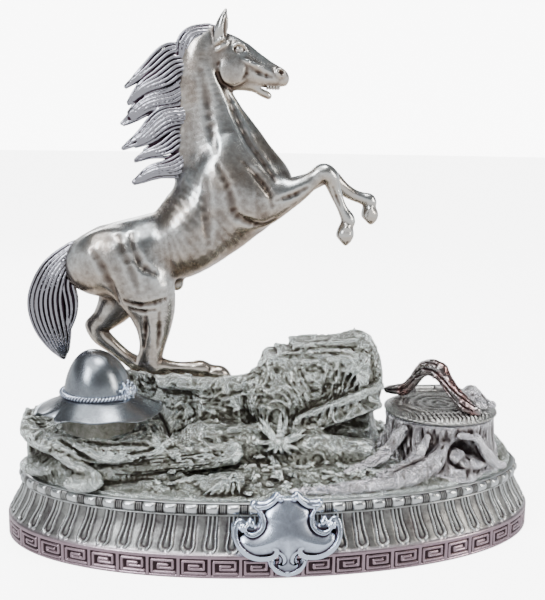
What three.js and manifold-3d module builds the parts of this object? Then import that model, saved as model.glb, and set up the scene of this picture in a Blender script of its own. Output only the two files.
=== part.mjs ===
// Figural desk inkwell: a rearing horse on rocky ground between a tree-stump well with a hinged lid
// and a second well under a lift-off hat, on an oval stepped plinth. Millimetres, +Z up,
// origin on the floor under the plinth's centre, +X the way the horse faces, -Y the front.
import * as THREE from "three";
import { mergeVertices } from "three/addons/utils/BufferGeometryUtils.js";
import Module from "manifold-3d";

const wasm = await Module();
wasm.setup();

// ---------- driving dimensions ----------
const GAP = 0.3; // clearance between neighbouring castings
const RUNNING = 0.35; // radial clearance of pins and screws in their holes

const FOOT_HALF_WIDTH = 145;
const FOOT_HALF_DEPTH = 73.6;
const OVAL_POWER = 2.1;
const PLINTH_HEIGHT = 35.7;
const PLINTH_WALL = 3;
const BAND_HEIGHT = 12; // upright foot band, with the cove above it
const SEAT_DEPTH = 2.7; // the ground casting's seat, below the plinth's top
const LEDGE_THICK = 2.5;
const LEDGE_INSET = 10.5;
const LEDGE_WIDTH = 7;

// Heights of all that stands on the plinth are drawn for a plinth whose top is at this height.
// The whole upper group is raised or lowered with the real plinth's top.
const TOP_DATUM = 35.7;
const LEDGE_Z = TOP_DATUM - SEAT_DEPTH;

const GROUND_WALL = 3.2;
const RIM_Z = TOP_DATUM + 0.9;
const PLATEAU_Z = 81.6; // rock under the horse's hocks
const LEFT_LEDGE_Z = 60; // rock under the hat

const STUMP = { x: 91.5, y: -10, radius: 30.2, top: 64 };
const LID_THICK = 4.4;
const LID_RADIUS = STUMP.radius + 0.8;
const LID_OVERLAP = 0.4; // air under the closed lid
const HINGE_AXIS_BACK = STUMP.radius + 3.3; // from the stump's centre to the hinge axis
const KNUCKLE_RADIUS = 3;
const PIN_RADIUS = 1.1;
const KNUCKLE_LENGTH = 12;

const POT_WALL = 2.2;
const STUMP_POT = { radius: 17.8, depth: 27, flange: 21 };
const HAT_POT = { radius: 14.6, depth: 32, flange: 17 };

const HAT_WALL = 2;
const HAT = { x: -94.5, y: -15, crownBase: 79, crownTop: 102, crownRadius: HAT_POT.flange + 0.8 };
const BRIM = { halfWidth: HAT.crownRadius + 15.7, halfDepth: HAT.crownRadius + 9.2, edgeZ: 69.4 };

const HORSE_Y = 20; // the horse's own middle plane
const LEG_SPREAD = 11; // from that plane to each pair of legs
const HORSE_RISE = PLATEAU_Z - 81.6; // its heights are drawn for hoofs on rock 81.6 high

// ---------- solids ----------
function toSolid(geometry) {
  const bare = new THREE.BufferGeometry();
  bare.setAttribute("position", geometry.getAttribute("position"));
  if (geometry.index) bare.setIndex(geometry.index);
  const merged = mergeVertices(bare, 1e-4);
  return new wasm.Manifold(new wasm.Mesh({
    numProp: 3,
    vertProperties: new Float32Array(merged.getAttribute("position").array),
    triVerts: new Uint32Array(merged.index.array),
  }));
}

function toGeometry(solid) {
  const mesh = solid.getMesh();
  const geometry = new THREE.BufferGeometry();
  const points = new Float32Array(mesh.numVert * 3);
  for (let i = 0; i < mesh.numVert; i += 1) {
    for (let k = 0; k < 3; k += 1) points[i * 3 + k] = mesh.vertProperties[i * mesh.numProp + k];
  }
  geometry.setAttribute("position", new THREE.BufferAttribute(points, 3));
  geometry.setIndex(new THREE.BufferAttribute(new Uint32Array(mesh.triVerts), 1));
  return geometry;
}

// A closed surface from rings of equal length. Ends close on a pole point, or ring to ring.
function ringsToSolid(rings, { first = null, last = null, loop = false } = {}) {
  const sides = rings[0].length;
  const points = rings.flat(2);
  const faces = [];
  const at = (ring, side) => (ring % rings.length) * sides + (side % sides);
  const spans = loop ? rings.length : rings.length - 1;
  for (let i = 0; i < spans; i += 1) {
    for (let j = 0; j < sides; j += 1) {
      faces.push(at(i, j), at(i, j + 1), at(i + 1, j + 1), at(i, j), at(i + 1, j + 1), at(i + 1, j));
    }
  }
  if (!loop) {
    const firstPole = points.length / 3;
    points.push(...first, ...last);
    for (let j = 0; j < sides; j += 1) {
      faces.push(firstPole, at(0, j + 1), at(0, j));
      faces.push(firstPole + 1, at(rings.length - 1, j), at(rings.length - 1, j + 1));
    }
  }
  const geometry = new THREE.BufferGeometry();
  geometry.setAttribute("position", new THREE.BufferAttribute(new Float32Array(points), 3));
  geometry.setIndex(faces);
  const solid = toSolid(geometry);
  if (solid.volume() > 0) return solid;
  for (let k = 0; k < faces.length; k += 3) [faces[k], faces[k + 1]] = [faces[k + 1], faces[k]];
  geometry.setIndex(faces);
  return toSolid(geometry);
}

// A limb, lock or branch: elliptical rings square to a path. A station is [x, y, z, radius, flatness],
// with the radius in the path's own plane and flatness times that across it.
function limb(stations, { sides = 10, grow = 0, across = [0, 1, 0], blunt = 0.45 } = {}) {
  const spine = stations.map(([x, y, z]) => new THREE.Vector3(x, y, z));
  const reference = new THREE.Vector3(...across);
  const tangentAt = (i) => {
    const ahead = spine[Math.min(i + 1, spine.length - 1)];
    return ahead.clone().sub(spine[Math.max(i - 1, 0)]).normalize();
  };
  const rings = stations.map(([, , , radius, flatness = 0.9], i) => {
    const tangent = tangentAt(i);
    const side = reference.clone().addScaledVector(tangent, -reference.dot(tangent)).normalize();
    const up = side.clone().cross(tangent);
    return Array.from({ length: sides }, (_, k) => {
      const angle = (2 * Math.PI * k) / sides;
      return spine[i].clone()
        .addScaledVector(up, Math.cos(angle) * (radius + grow))
        .addScaledVector(side, Math.sin(angle) * (radius * flatness + grow))
        .toArray();
    });
  });
  const end = (i, way) => {
    const reach = way * ((stations[i][3] + grow) * blunt + grow);
    return spine[i].clone().addScaledVector(tangentAt(i), reach).toArray();
  };
  return ringsToSolid(rings, { first: end(0, -1), last: end(stations.length - 1, 1) });
}

function lathe(profile, x, y, sides = 32) {
  const points = profile.map(([r, z]) => new THREE.Vector2(r, z));
  const geometry = new THREE.LatheGeometry(points, sides);
  geometry.rotateX(Math.PI / 2);
  geometry.translate(x, y, 0);
  return toSolid(geometry);
}

function cylinder(radius, low, high, x, y, sides = 24) {
  return lathe([[0, low], [radius, low], [radius, high], [0, high]], x, y, sides);
}

function box(lowX, highX, lowY, highY, lowZ, highZ) {
  const geometry = new THREE.BoxGeometry(highX - lowX, highY - lowY, highZ - lowZ);
  geometry.translate((lowX + highX) / 2, (lowY + highY) / 2, (lowZ + highZ) / 2);
  return toSolid(geometry);
}

function barAlongX(radius, lowX, highX, y, z, sides = 20) {
  const geometry = new THREE.CylinderGeometry(radius, radius, highX - lowX, sides);
  geometry.rotateZ(Math.PI / 2);
  geometry.translate((lowX + highX) / 2, y, z);
  return toSolid(geometry);
}

const joined = (solids) => solids.slice(1).reduce((sum, solid) => sum.add(solid), solids[0]);
const ramp = (t) => {
  const clamped = Math.min(Math.max(t, 0), 1);
  return clamped * clamped * (3 - 2 * clamped);
};

// ---------- the oval ----------
function ovalPoint(angle, inset) {
  const curve = (value) => Math.sign(value) * Math.abs(value) ** (2 / OVAL_POWER);
  return [
    (FOOT_HALF_WIDTH - inset) * curve(Math.cos(angle)),
    (FOOT_HALF_DEPTH - inset) * curve(Math.sin(angle)),
  ];
}

function ovalHalfDepth(x, inset) {
  const share = Math.min(Math.abs(x) / (FOOT_HALF_WIDTH - inset), 1);
  return (FOOT_HALF_DEPTH - inset) * (1 - share ** OVAL_POWER) ** (1 / OVAL_POWER);
}

function ovalShare(x, y, inset) {
  const across = (Math.abs(x) / (FOOT_HALF_WIDTH - inset)) ** OVAL_POWER;
  const deep = (Math.abs(y) / (FOOT_HALF_DEPTH - inset)) ** OVAL_POWER;
  return (across + deep) ** (1 / OVAL_POWER);
}

// ---------- plinth: foot band, cove, bead moulding, seat ----------
// Pairs of inset from the foot's edge and height, up the outside.
const PLINTH_OUTSIDE = [[0, 0], [0, BAND_HEIGHT], [1.4, BAND_HEIGHT + 1.4], [3.6, BAND_HEIGHT + 5.5],
  [7, PLINTH_HEIGHT - 12.2], [8.8, PLINTH_HEIGHT - 6.9], [6.6, PLINTH_HEIGHT - 3.5], [8.2, PLINTH_HEIGHT]];

function plinthSolid() {
  const seat = PLINTH_HEIGHT - SEAT_DEPTH;
  const inside = [[LEDGE_INSET, PLINTH_HEIGHT], [LEDGE_INSET, seat],
    [LEDGE_INSET + LEDGE_WIDTH, seat], [LEDGE_INSET + LEDGE_WIDTH, seat - LEDGE_THICK],
    [8.8 + PLINTH_WALL, seat - LEDGE_THICK], [7 + PLINTH_WALL, PLINTH_HEIGHT - 13.2],
    [3.6 + PLINTH_WALL, BAND_HEIGHT + 3.8], [PLINTH_WALL, BAND_HEIGHT - 1], [PLINTH_WALL, 0]];
  const profile = [...PLINTH_OUTSIDE, ...inside];
  const stepsRound = 44;
  const rings = Array.from({ length: stepsRound }, (_, i) => {
    const angle = (2 * Math.PI * i) / stepsRound;
    return profile.map(([inset, z]) => [...ovalPoint(angle, inset), z]);
  });
  const screwHoles = SCREW_PLACES.map(([x, y]) =>
    cylinder(SCREW_RADIUS + RUNNING, seat - 8, seat + 2, x, y, 12));
  return ringsToSolid(rings, { loop: true }).subtract(joined(screwHoles));
}

// The plinth's outside filled in, a little larger, for seating what is soldered to its front.
function plinthBulk(grow) {
  const stepsRound = 44;
  const rings = PLINTH_OUTSIDE.map(([inset, z]) => Array.from({ length: stepsRound }, (_, i) =>
    [...ovalPoint((2 * Math.PI * i) / stepsRound, inset - grow), z]));
  return ringsToSolid(rings, { first: [0, 0, 0], last: [0, 0, PLINTH_HEIGHT] });
}

const SCREW_RADIUS = 1.6;
const SCREW_HEAD = 2.5;
const SCREW_INSET = LEDGE_INSET + LEDGE_WIDTH / 2 + 0.9;
const SCREW_PLACES = [35, 145, 215, 325].map((degrees) =>
  ovalPoint(THREE.MathUtils.degToRad(degrees), SCREW_INSET));
const SCREW_TIP_Z = LEDGE_Z + 2.4;

function groundScrew([x, y]) {
  const seat = LEDGE_Z - LEDGE_THICK - GAP;
  return lathe([[0, seat - 2.6], [SCREW_HEAD - 0.6, seat - 2.6], [SCREW_HEAD, seat - 1.6],
    [SCREW_HEAD, seat], [SCREW_RADIUS, seat], [SCREW_RADIUS, SCREW_TIP_Z], [0, SCREW_TIP_Z]], x, y, 12);
}

// ---------- cartouche on the plinth's front ----------
const CARTOUCHE = { halfWidth: 27.5, low: 1.2, high: PLINTH_HEIGHT + 4.3, stand: 1.6 };

function cartoucheSolid() {
  const middle = 19;
  const lobes = (angle) => 1 + 0.07 * Math.cos(4 * angle + Math.PI) - 0.05 * Math.cos(8 * angle);
  const sides = 40;
  const frontY = (x, z) => {
    const belly = 2.4 * (1 - (x / CARTOUCHE.halfWidth) ** 2 * 0.6);
    const lean = 7.6 * ramp((z - 12) / 26);
    return -(ovalHalfDepth(x, 0) + CARTOUCHE.stand - lean + belly * ramp((z - 10) / 12) * 0.9);
  };
  const ring = (share, back) => Array.from({ length: sides }, (_, k) => {
    const angle = (2 * Math.PI * k) / sides;
    const reach = Math.sin(angle) > 0 ? CARTOUCHE.high - middle : middle - CARTOUCHE.low;
    const x = share * CARTOUCHE.halfWidth * lobes(angle) * Math.cos(angle);
    const z = middle + share * reach * Math.sin(angle);
    return [x, back ? -50 : frontY(x, z), z];
  });
  const rings = [ring(0.35, false), ring(0.7, false), ring(0.93, false), ring(1, false), ring(1, true)];
  const whole = ringsToSolid(rings, { first: [0, frontY(0, middle), middle], last: [0, -50, middle] });
  const behindTop = box(-60, 60, 0.5 - ovalHalfDepth(0, LEDGE_INSET - 2), 0, PLINTH_HEIGHT - 0.5, 60);
  return whole.subtract(plinthBulk(GAP)).subtract(behindTop);
}

// ---------- ground ----------
function hatShare(x, y) {
  return Math.hypot((x - HAT.x) / BRIM.halfWidth, (y - HAT.y) / BRIM.halfDepth);
}

const bump = (x, y, atX, atY, wideX, wideY, high) =>
  high * Math.exp(-(((x - atX) / wideX) ** 2) - ((y - atY) / wideY) ** 2);

// Height of the cast rock and turf above the floor.
function groundHeight(x, y) {
  const base = RIM_Z + 3 * ramp((1 - ovalShare(x, y, LEDGE_INSET)) / 0.16);
  const top = PLATEAU_Z - 0.15 * (y - HORSE_Y + LEG_SPREAD) - 4 * ramp((x + 58) / 36) - base;
  const plateau = top * ramp((x + 112) / 16) * ramp((66 - x) / 12) * ramp((y + 6) / 7)
    * ramp((54 - y) / 17) * ramp((hatShare(x, y) - 1.06) / 0.24)
    * ramp((Math.hypot(x - STUMP.x, y - STUMP.y) - STUMP.radius - 4) / 9);
  const slopeUnderHoof = 14 * ramp((x + 66) / 12) * ramp((4 - x) / 40) * ramp((y + 26) / 22)
    * ramp((hatShare(x, y) - 1.02) / 0.2);
  const ledge = (LEFT_LEDGE_Z - base) * ramp((x + 137) / 9) * ramp((-52 - x) / 12)
    * ramp((y + 40) / 6) * ramp((34 - y) / 12);
  const knob = bump(x, y, -129, 0, 6, 9, 7);
  const rightRocks = bump(x, y, 127, 4, 7, 12, 9) + bump(x, y, 116, 30, 12, 8, 8);
  return base + Math.max(plateau, ledge + knob, slopeUnderHoof) + rightRocks;
}

function lowestNearby(x, y, reach) {
  let lowest = groundHeight(x, y);
  for (let k = 0; k < 12; k += 1) {
    const angle = (2 * Math.PI * k) / 12;
    lowest = Math.min(lowest, groundHeight(x + reach * Math.cos(angle), y + reach * Math.sin(angle)));
  }
  return lowest;
}

function groundUnderside(x, y) {
  const seat = LEDGE_Z + GAP;
  if (ovalShare(x, y, LEDGE_INSET) > 0.84) return seat;
  return Math.max(seat, lowestNearby(x, y, 6) - GROUND_WALL);
}

// Closed slab between two height functions over the oval, on a grid that narrows with the oval.
function ovalSlab(topOf, bottomOf, inset) {
  const columns = 37;
  const rows = 17;
  const halfWidth = FOOT_HALF_WIDTH - inset;
  const rings = [];
  for (let i = 1; i < columns; i += 1) {
    const x = -halfWidth * Math.cos((Math.PI * i) / columns) * 0.35
      + halfWidth * (-1 + (2 * i) / columns) * 0.65;
    const halfDepth = ovalHalfDepth(x, inset);
    const across = Array.from({ length: rows + 1 }, (_, j) => halfDepth * (-1 + (2 * j) / rows));
    const over = across.map((y) => [x, y, topOf(x, y)]);
    const under = across.map((y) => [x, y, bottomOf(x, y)]).reverse();
    rings.push([...over, ...under]);
  }
  const tip = (side) => {
    const x = side * halfWidth;
    return [x, 0, (topOf(x, 0) + Math.max(bottomOf(x, 0), LEDGE_Z + GAP)) / 2];
  };
  return ringsToSolid(rings, { first: tip(-1), last: tip(1) });
}

const GROUND_INSET = LEDGE_INSET + GAP;
// Everything below the ground's surface, raised a little: what stands on the ground is cut by this.
const groundBulk = ovalSlab((x, y) => groundHeight(x, y) + GAP + 0.05, () => 10, GROUND_INSET);
const onGround = (solid) => solid.subtract(groundBulk);

function groundSolid() {
  const shell = ovalSlab(groundHeight, groundUnderside, GROUND_INSET);
  const holes = [
    cylinder(STUMP_POT.radius + 0.5, 20, STUMP.top, STUMP.x, STUMP.y, 28),
    cylinder(HAT_POT.radius + 0.5, 20, HAT.crownBase, HAT.x, HAT.y, 28),
    ...SCREW_PLACES.map(([x, y]) => cylinder(SCREW_RADIUS + RUNNING, 20, SCREW_TIP_Z + GAP, x, y, 12)),
    ...STUD_PLACES.map(([x, y]) => cylinder(STUD_RADIUS + RUNNING, 20, 120, x, y, 12)),
  ];
  return joined([shell, ...STUD_PLACES.map(studBoss)]).subtract(joined(holes));
}

// ---------- rock outcrop behind the middle ----------
function rockLayer(low, high, layer) {
  const corners = 11;
  const outline = (z, shrink) => Array.from({ length: corners }, (_, k) => {
    const angle = (2 * Math.PI * k) / corners;
    const rough = 1 + 0.07 * Math.sin(5 * k + layer.seed);
    const square = Math.max(Math.abs(Math.cos(angle)), Math.abs(Math.sin(angle))) ** -0.55;
    return [
      layer.x + (layer.halfWidth - shrink) * rough * square * Math.cos(angle),
      layer.y + (layer.halfDepth - shrink) * rough * square * Math.sin(angle),
      z + layer.tilt * Math.cos(angle),
    ];
  });
  const middle = (z) => [layer.x, layer.y, z];
  const outlines = [outline(low, 0), outline((low + high) / 2, -1), outline(high - 1.5, 0.5),
    outline(high, 3)];
  return ringsToSolid(outlines, { first: middle(low), last: middle(high) });
}

function outcropSolid() {
  const layers = [
    rockLayer(40, 74, { x: 26, y: 9, halfWidth: 27, halfDepth: 19, tilt: 0, seed: 1 }),
    rockLayer(70, 87, { x: 25, y: 11, halfWidth: 27, halfDepth: 18.5, tilt: 0.5, seed: 4 }),
    rockLayer(85, 95.5, { x: 24, y: 11, halfWidth: 24, halfDepth: 18, tilt: 0.5, seed: 2 }),
    rockLayer(93, 101, { x: 26, y: 12, halfWidth: 21, halfDepth: 14, tilt: 1, seed: 7 }),
    rockLayer(97, 104, { x: 44, y: 12, halfWidth: 7, halfDepth: 9, tilt: 1, seed: 3 }),
  ];
  return onGround(joined(layers)).subtract(stumpBulk(GAP));
}

function logSolid() {
  return onGround(limb([[-92, -35, 41, 4.5], [-78, -33, 43, 6], [-60, -30.5, 44, 6.2], [-42, -27, 45.5, 6],
    [-28, -24, 47, 4.5]], { sides: 10 }));
}

// ---------- stump well ----------
// Pairs of height and radius of the trunk, roots flaring at the foot.
const TRUNK = [[37, 4.3], [41, 3.2], [47, 1.2], [57, -0.4], [STUMP.top, 0]]
  .map(([z, flare]) => [z, STUMP.radius + flare]);

function stumpBulk(grow) {
  const sides = 24;
  const rings = TRUNK.map(([z, radius]) => Array.from({ length: sides }, (_, k) => {
    const angle = (2 * Math.PI * k) / sides;
    const flare = ramp((50 - z) / 14) * (2.2 * Math.sin(3 * angle + 0.6) - 3 * ramp(Math.cos(angle)));
    const reach = radius + grow + flare;
    return [STUMP.x + reach * Math.cos(angle), STUMP.y + reach * Math.sin(angle), z + (z > 60 ? grow : 0)];
  }));
  const top = STUMP.top + grow;
  return ringsToSolid(rings, { first: [STUMP.x, STUMP.y, TRUNK[0][0]], last: [STUMP.x, STUMP.y, top] });
}

const POT_FLANGE_THICK = 2.2;
const STUMP_POT_SEAT = STUMP.top - POT_FLANGE_THICK - 2 * GAP;

function stumpSolid() {
  const root = limb([[84, -36, 40, 6], [73, -47, 40.5, 5], [56, -53, 40, 4.2], [34, -57, 39.5, 3.6],
    [12, -58.5, 38.8, 2.6]], { sides: 8, across: [0, 0, 1] });
  const bore = cylinder(STUMP_POT.radius + 0.5, 20, STUMP.top + 5, STUMP.x, STUMP.y, 28);
  const recess = cylinder(STUMP_POT.flange + GAP, STUMP_POT_SEAT, STUMP.top + 5, STUMP.x, STUMP.y, 28);
  return onGround(stumpBulk(0).add(root)).subtract(bore).subtract(recess);
}

function potSolid(pot, seat, x, y) {
  const top = seat + GAP + POT_FLANGE_THICK;
  const floor = top - pot.depth;
  return lathe([[0, floor], [pot.radius - 1.5, floor], [pot.radius, floor + 1.5],
    [pot.radius, seat + GAP], [pot.flange, seat + GAP], [pot.flange, top],
    [pot.radius - POT_WALL, top], [pot.radius - POT_WALL, floor + 4],
    [pot.radius - POT_WALL - 2, floor + 2.5],
    [0, floor + 2.5]], x, y, 20);
}

// ---------- stump lid and its hinge ----------
const LID_BOTTOM = STUMP.top + LID_OVERLAP;
const LID_TOP = LID_BOTTOM + LID_THICK;
const HINGE_Y = STUMP.y + HINGE_AXIS_BACK;
const HINGE_Z = LID_BOTTOM + LID_THICK / 2;

function lidDisc(grow) {
  const low = LID_BOTTOM - grow;
  const high = LID_TOP + grow;
  const radius = LID_RADIUS + grow;
  return lathe([[0, low], [radius - 0.8, low], [radius, low + 0.8], [radius, high - 1.2],
    [radius - 1.4, high],
    [0, high + 0.4]], STUMP.x, STUMP.y, 32);
}

function lidSolid() {
  const half = KNUCKLE_LENGTH / 2;
  const knuckle = barAlongX(KNUCKLE_RADIUS, STUMP.x - half, STUMP.x + half, HINGE_Y, HINGE_Z);
  const leaf = box(STUMP.x - half, STUMP.x + half, STUMP.y + LID_RADIUS - 5, HINGE_Y,
    HINGE_Z - 1.6, HINGE_Z + 1.4);
  const pinHole = barAlongX(PIN_RADIUS + RUNNING, STUMP.x - 40, STUMP.x + 40, HINGE_Y, HINGE_Z, 16);
  const screwHoles = HANDLE_SCREWS.map(([x, y]) =>
    cylinder(HANDLE_SCREW_RADIUS + RUNNING, LID_BOTTOM - 5, LID_TOP + 5, x, y, 12));
  const sinks = HANDLE_SCREWS.map(([x, y]) =>
    cylinder(HANDLE_SCREW_HEAD + RUNNING, LID_BOTTOM - 5, LID_BOTTOM + 1.7, x, y, 14));
  return joined([lidDisc(0), leaf, knuckle]).subtract(joined([pinHole, ...screwHoles, ...sinks]));
}

function hingeBracket(side) {
  const inner = KNUCKLE_LENGTH / 2 + GAP;
  const outer = inner + 8.5;
  const [low, high] = side > 0 ? [STUMP.x + inner, STUMP.x + outer] : [STUMP.x - outer, STUMP.x - inner];
  const knuckle = barAlongX(KNUCKLE_RADIUS, low, high, HINGE_Y, HINGE_Z);
  const arm = box(low, high, STUMP.y + STUMP.radius - 4, HINGE_Y + KNUCKLE_RADIUS, 52, STUMP.top - 0.4);
  const neck = box(low, high, HINGE_Y - 1.8, HINGE_Y + KNUCKLE_RADIUS, STUMP.top - 2, HINGE_Z);
  const pinHole = barAlongX(PIN_RADIUS + RUNNING, STUMP.x - 40, STUMP.x + 40, HINGE_Y, HINGE_Z, 16);
  return joined([arm, neck, knuckle]).subtract(stumpBulk(GAP)).subtract(pinHole);
}

function hingePin() {
  const reach = KNUCKLE_LENGTH / 2 + 9.5;
  return barAlongX(PIN_RADIUS, STUMP.x - reach, STUMP.x + reach, HINGE_Y, HINGE_Z, 16);
}

const HANDLE_SCREW_RADIUS = 1.1;
const HANDLE_SCREW_HEAD = 2.2;
const LID_SPREAD = LID_RADIUS / 31; // what stands on the lid is laid out for one of radius 31
const onLid = ([x, y, ...rest]) => [STUMP.x + x * LID_SPREAD, STUMP.y + y * LID_SPREAD, ...rest];
const HANDLE_SCREWS = [[-17.5, 17.5], [10, -17]].map(onLid);
// The crooked branch that arches over the lid: offsets from the lid's centre, height above its top, radius.
const BRANCH = [[-24.5, 21, 1, 2.4], [-21.5, 19.6, 1.6, 3.2], [-17, 17, 3, 3.6], [-13, 13.5, 8, 3.3],
  [-9.5, 10, 15, 3.2], [-5, 6, 18.4, 3.7], [-0.5, 1, 18, 3.6], [4, -7, 9.5, 3.3], [8.5, -15, 3.4, 3.4],
  [12, -20, 1.2, 2.4]].map(onLid);

function branchSolid(grow) {
  return limb(BRANCH.map(([x, y, z, radius]) => [x, y, z + LID_TOP, radius, 1]),
    { sides: 10, grow, across: [0.8, 0.6, 0] });
}

function handleSolid() {
  const screwHoles = HANDLE_SCREWS.map(([x, y]) =>
    cylinder(HANDLE_SCREW_RADIUS + RUNNING, LID_TOP - 2, LID_TOP + 3.2, x, y, 12));
  return branchSolid(0).subtract(lidDisc(GAP)).subtract(joined(screwHoles));
}

function handleScrew([x, y]) {
  const seat = LID_BOTTOM + 1.7;
  return lathe([[0, LID_BOTTOM + 0.2], [HANDLE_SCREW_HEAD, LID_BOTTOM + 0.2],
    [HANDLE_SCREW_HEAD, seat - GAP],
    [HANDLE_SCREW_RADIUS, seat], [HANDLE_SCREW_RADIUS, LID_TOP + 2.8], [0, LID_TOP + 2.8]], x, y, 10);
}

function barkLump() {
  const lump = limb([[21.5, 16, LID_TOP, 3], [20.5, 10, LID_TOP + 1, 5], [18.5, 3, LID_TOP + 1.6, 6],
    [17.5, -4, LID_TOP + 1, 5], [17.5, -10, LID_TOP, 3]].map(onLid), { sides: 10, across: [1, 0, 0] });
  return lump.subtract(lidDisc(GAP)).subtract(branchSolid(GAP));
}

// ---------- hat over the left well ----------
// Outside of crown and brim as pairs of share (0 crown top, 1 crown base, 2 brim edge) and height.
function hatSurface(angle, share, inward) {
  const crown = Math.min(share, 1);
  const beyond = Math.max(share - 1, 0);
  const high = HAT.crownTop - HAT.crownBase;
  const round = Math.sin((Math.PI / 2) * crown);
  const crownReach = HAT.crownRadius * (0.15 * crown + 0.85 * round) - inward * crown;
  const stretch = (half) => crownReach + beyond * (half - HAT.crownRadius);
  const lean = -3 * (1 - crown) * (1 - crown);
  const crownZ = HAT.crownBase + high * Math.cos((Math.PI / 2) * crown) ** 1.05;
  const droop = (HAT.crownBase - BRIM.edgeZ) * beyond ** 0.85 + 1.1 * beyond ** 2 * Math.sin(3 * angle + 1);
  return [
    HAT.x + lean + stretch(BRIM.halfWidth) * Math.cos(angle),
    HAT.y + stretch(BRIM.halfDepth) * Math.sin(angle),
    crownZ - droop - inward * (share <= 1 ? 1 - 0.35 * crown : 1),
  ];
}

function hatSolid() {
  const sides = 28;
  const ring = (share, inward) => Array.from({ length: sides }, (_, k) =>
    hatSurface((2 * Math.PI * k) / sides, share, inward));
  const outside = [0.35, 0.68, 0.88, 1, 1.4, 2];
  const inside = [1.94, 1.4, 1, 0.88, 0.68, 0.35];
  const rings = [...outside.map((s) => ring(s, 0)), ...inside.map((s) => ring(s, HAT_WALL))];
  const pole = (inward) => hatSurface(0, 0, inward);
  return ringsToSolid(rings, { first: pole(0), last: pole(HAT_WALL) });
}

function hatBand() {
  const sides = 28;
  const section = [[0.5, 0.5], [1.9, 0.1], [2.3, 1.2], [1.4, 2.4], [0.5, 2.5]];
  const rings = Array.from({ length: sides }, (_, k) => {
    const angle = (2 * Math.PI * k) / sides;
    const reach = HAT.crownRadius;
    return section.map(([out, up]) => [
      HAT.x + (reach + out) * Math.cos(angle),
      HAT.y + (reach + out) * Math.sin(angle),
      HAT.crownBase + up,
    ]);
  });
  return ringsToSolid(rings, { loop: true }).subtract(hatRosetteBulk(GAP));
}

const ROSETTE_ANGLE = -0.55;

function hatRosetteBulk(grow) {
  const reach = HAT.crownRadius + 2.2;
  const x = HAT.x + reach * Math.cos(ROSETTE_ANGLE);
  const y = HAT.y + reach * Math.sin(ROSETTE_ANGLE);
  return limb([[x, y, HAT.crownBase - 3.5, 2.5], [x, y, HAT.crownBase - 1, 4.6],
    [x, y, HAT.crownBase + 3, 5],
    [x, y, HAT.crownBase + 6.5, 2.8]], { sides: 10, grow });
}

function hatRosette() {
  const hatGrown = joined([0, 1, 2, 3, 4, 5].map((k) => hatSolid().translate(
    [GAP * Math.cos(k * 1.047), GAP * Math.sin(k * 1.047), GAP])));
  const outside = hatRosetteBulk(0).subtract(hatGrown);
  return largest(outside.subtract(hatInside()));
}

function hatInside() {
  return lathe([[0, 60], [HAT.crownRadius - 0.6, 60], [HAT.crownRadius - 0.6, HAT.crownBase + 4],
    [HAT.crownRadius * 0.6, HAT.crownTop - 6], [0, HAT.crownTop - 4]], HAT.x, HAT.y, 24);
}

function largest(solid) {
  return solid.decompose().sort((a, b) => b.volume() - a.volume())[0];
}

const COLLAR_TOP = HAT.crownBase - HAT_WALL - 4.2;
const HAT_POT_SEAT = COLLAR_TOP - POT_FLANGE_THICK - 2 * GAP;

function wellCollar() {
  const ring = lathe([[HAT_POT.radius + 0.5, 50], [HAT_POT.flange + 2.6, 50],
    [HAT_POT.flange + 2, COLLAR_TOP],
    [HAT_POT.flange + GAP, COLLAR_TOP], [HAT_POT.flange + GAP, HAT_POT_SEAT],
    [HAT_POT.radius + 0.5, HAT_POT_SEAT], [HAT_POT.radius + 0.5, 50]], HAT.x, HAT.y, 24);
  return onGround(ring);
}

// ---------- horse ----------
const inPlane = (y, flatness) => ([x, z, radius, own = flatness]) => [x, y, z + HORSE_RISE, radius, own];

function horseTorso(grow) {
  return limb([[-107, 140.5, 7, 0.8], [-100, 141.5, 15.4, 0.8], [-89, 142, 20.5, 0.86],
    [-68, 151.5, 17.4, 1],
    [-52.5, 154.5, 20.5, 0.96], [-36.5, 168, 24.6, 0.84], [-24, 180, 27.5, 0.7], [-8, 183, 19.5, 0.8],
    [1, 180, 9.2, 0.9]].map(inPlane(HORSE_Y, 0.85)), { sides: 16, grow });
}

function horseNeck(grow) {
  return limb([[-23.5, 189.5, 25.6, 0.62], [-26.5, 200, 23.6, 0.58], [-32, 216, 18.4, 0.62],
    [-36.5, 231.5, 14, 0.68],
    [-40, 246, 11.8, 0.7], [-40.5, 257, 10, 0.7], [-36.5, 265, 6.6, 0.72]].map(inPlane(HORSE_Y, 0.65)),
  { sides: 14, grow });
}

function horseHead(grow) {
  const skull = limb([[-34.5, 263, 6, 0.8], [-23.5, 251.5, 12.3, 0.68], [-12, 247.5, 9.4, 0.68],
    [-4, 245.2, 7.2, 0.72], [2.2, 243.7, 5.4, 0.85], [5, 243.2, 2.6, 0.9]].map(inPlane(HORSE_Y, 0.7)),
  { sides: 12, grow });
  const jaw = limb([[-24, 241, 4, 1], [-16, 239.5, 3, 1], [-9, 237.6, 2.6, 1.1], [-4, 234.8, 2.2, 1.2]]
    .map(inPlane(HORSE_Y, 1)), { sides: 8, grow });
  const ears = [-1, 1].map((side) => limb([[-29, HORSE_Y + side * 4.5, 263, 4],
    [-28.2, HORSE_Y + side * 5.6, 269, 3.4], [-27, HORSE_Y + side * 6.2, 277.6, 0.7]]
    .map(([x, y, z, radius]) => [x, y, z + HORSE_RISE, radius]), { sides: 8, grow }));
  return joined([skull, jaw, ...ears]);
}

const horseBulk = (grow) => joined([horseTorso(grow), horseNeck(grow), horseHead(grow)]);

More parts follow.
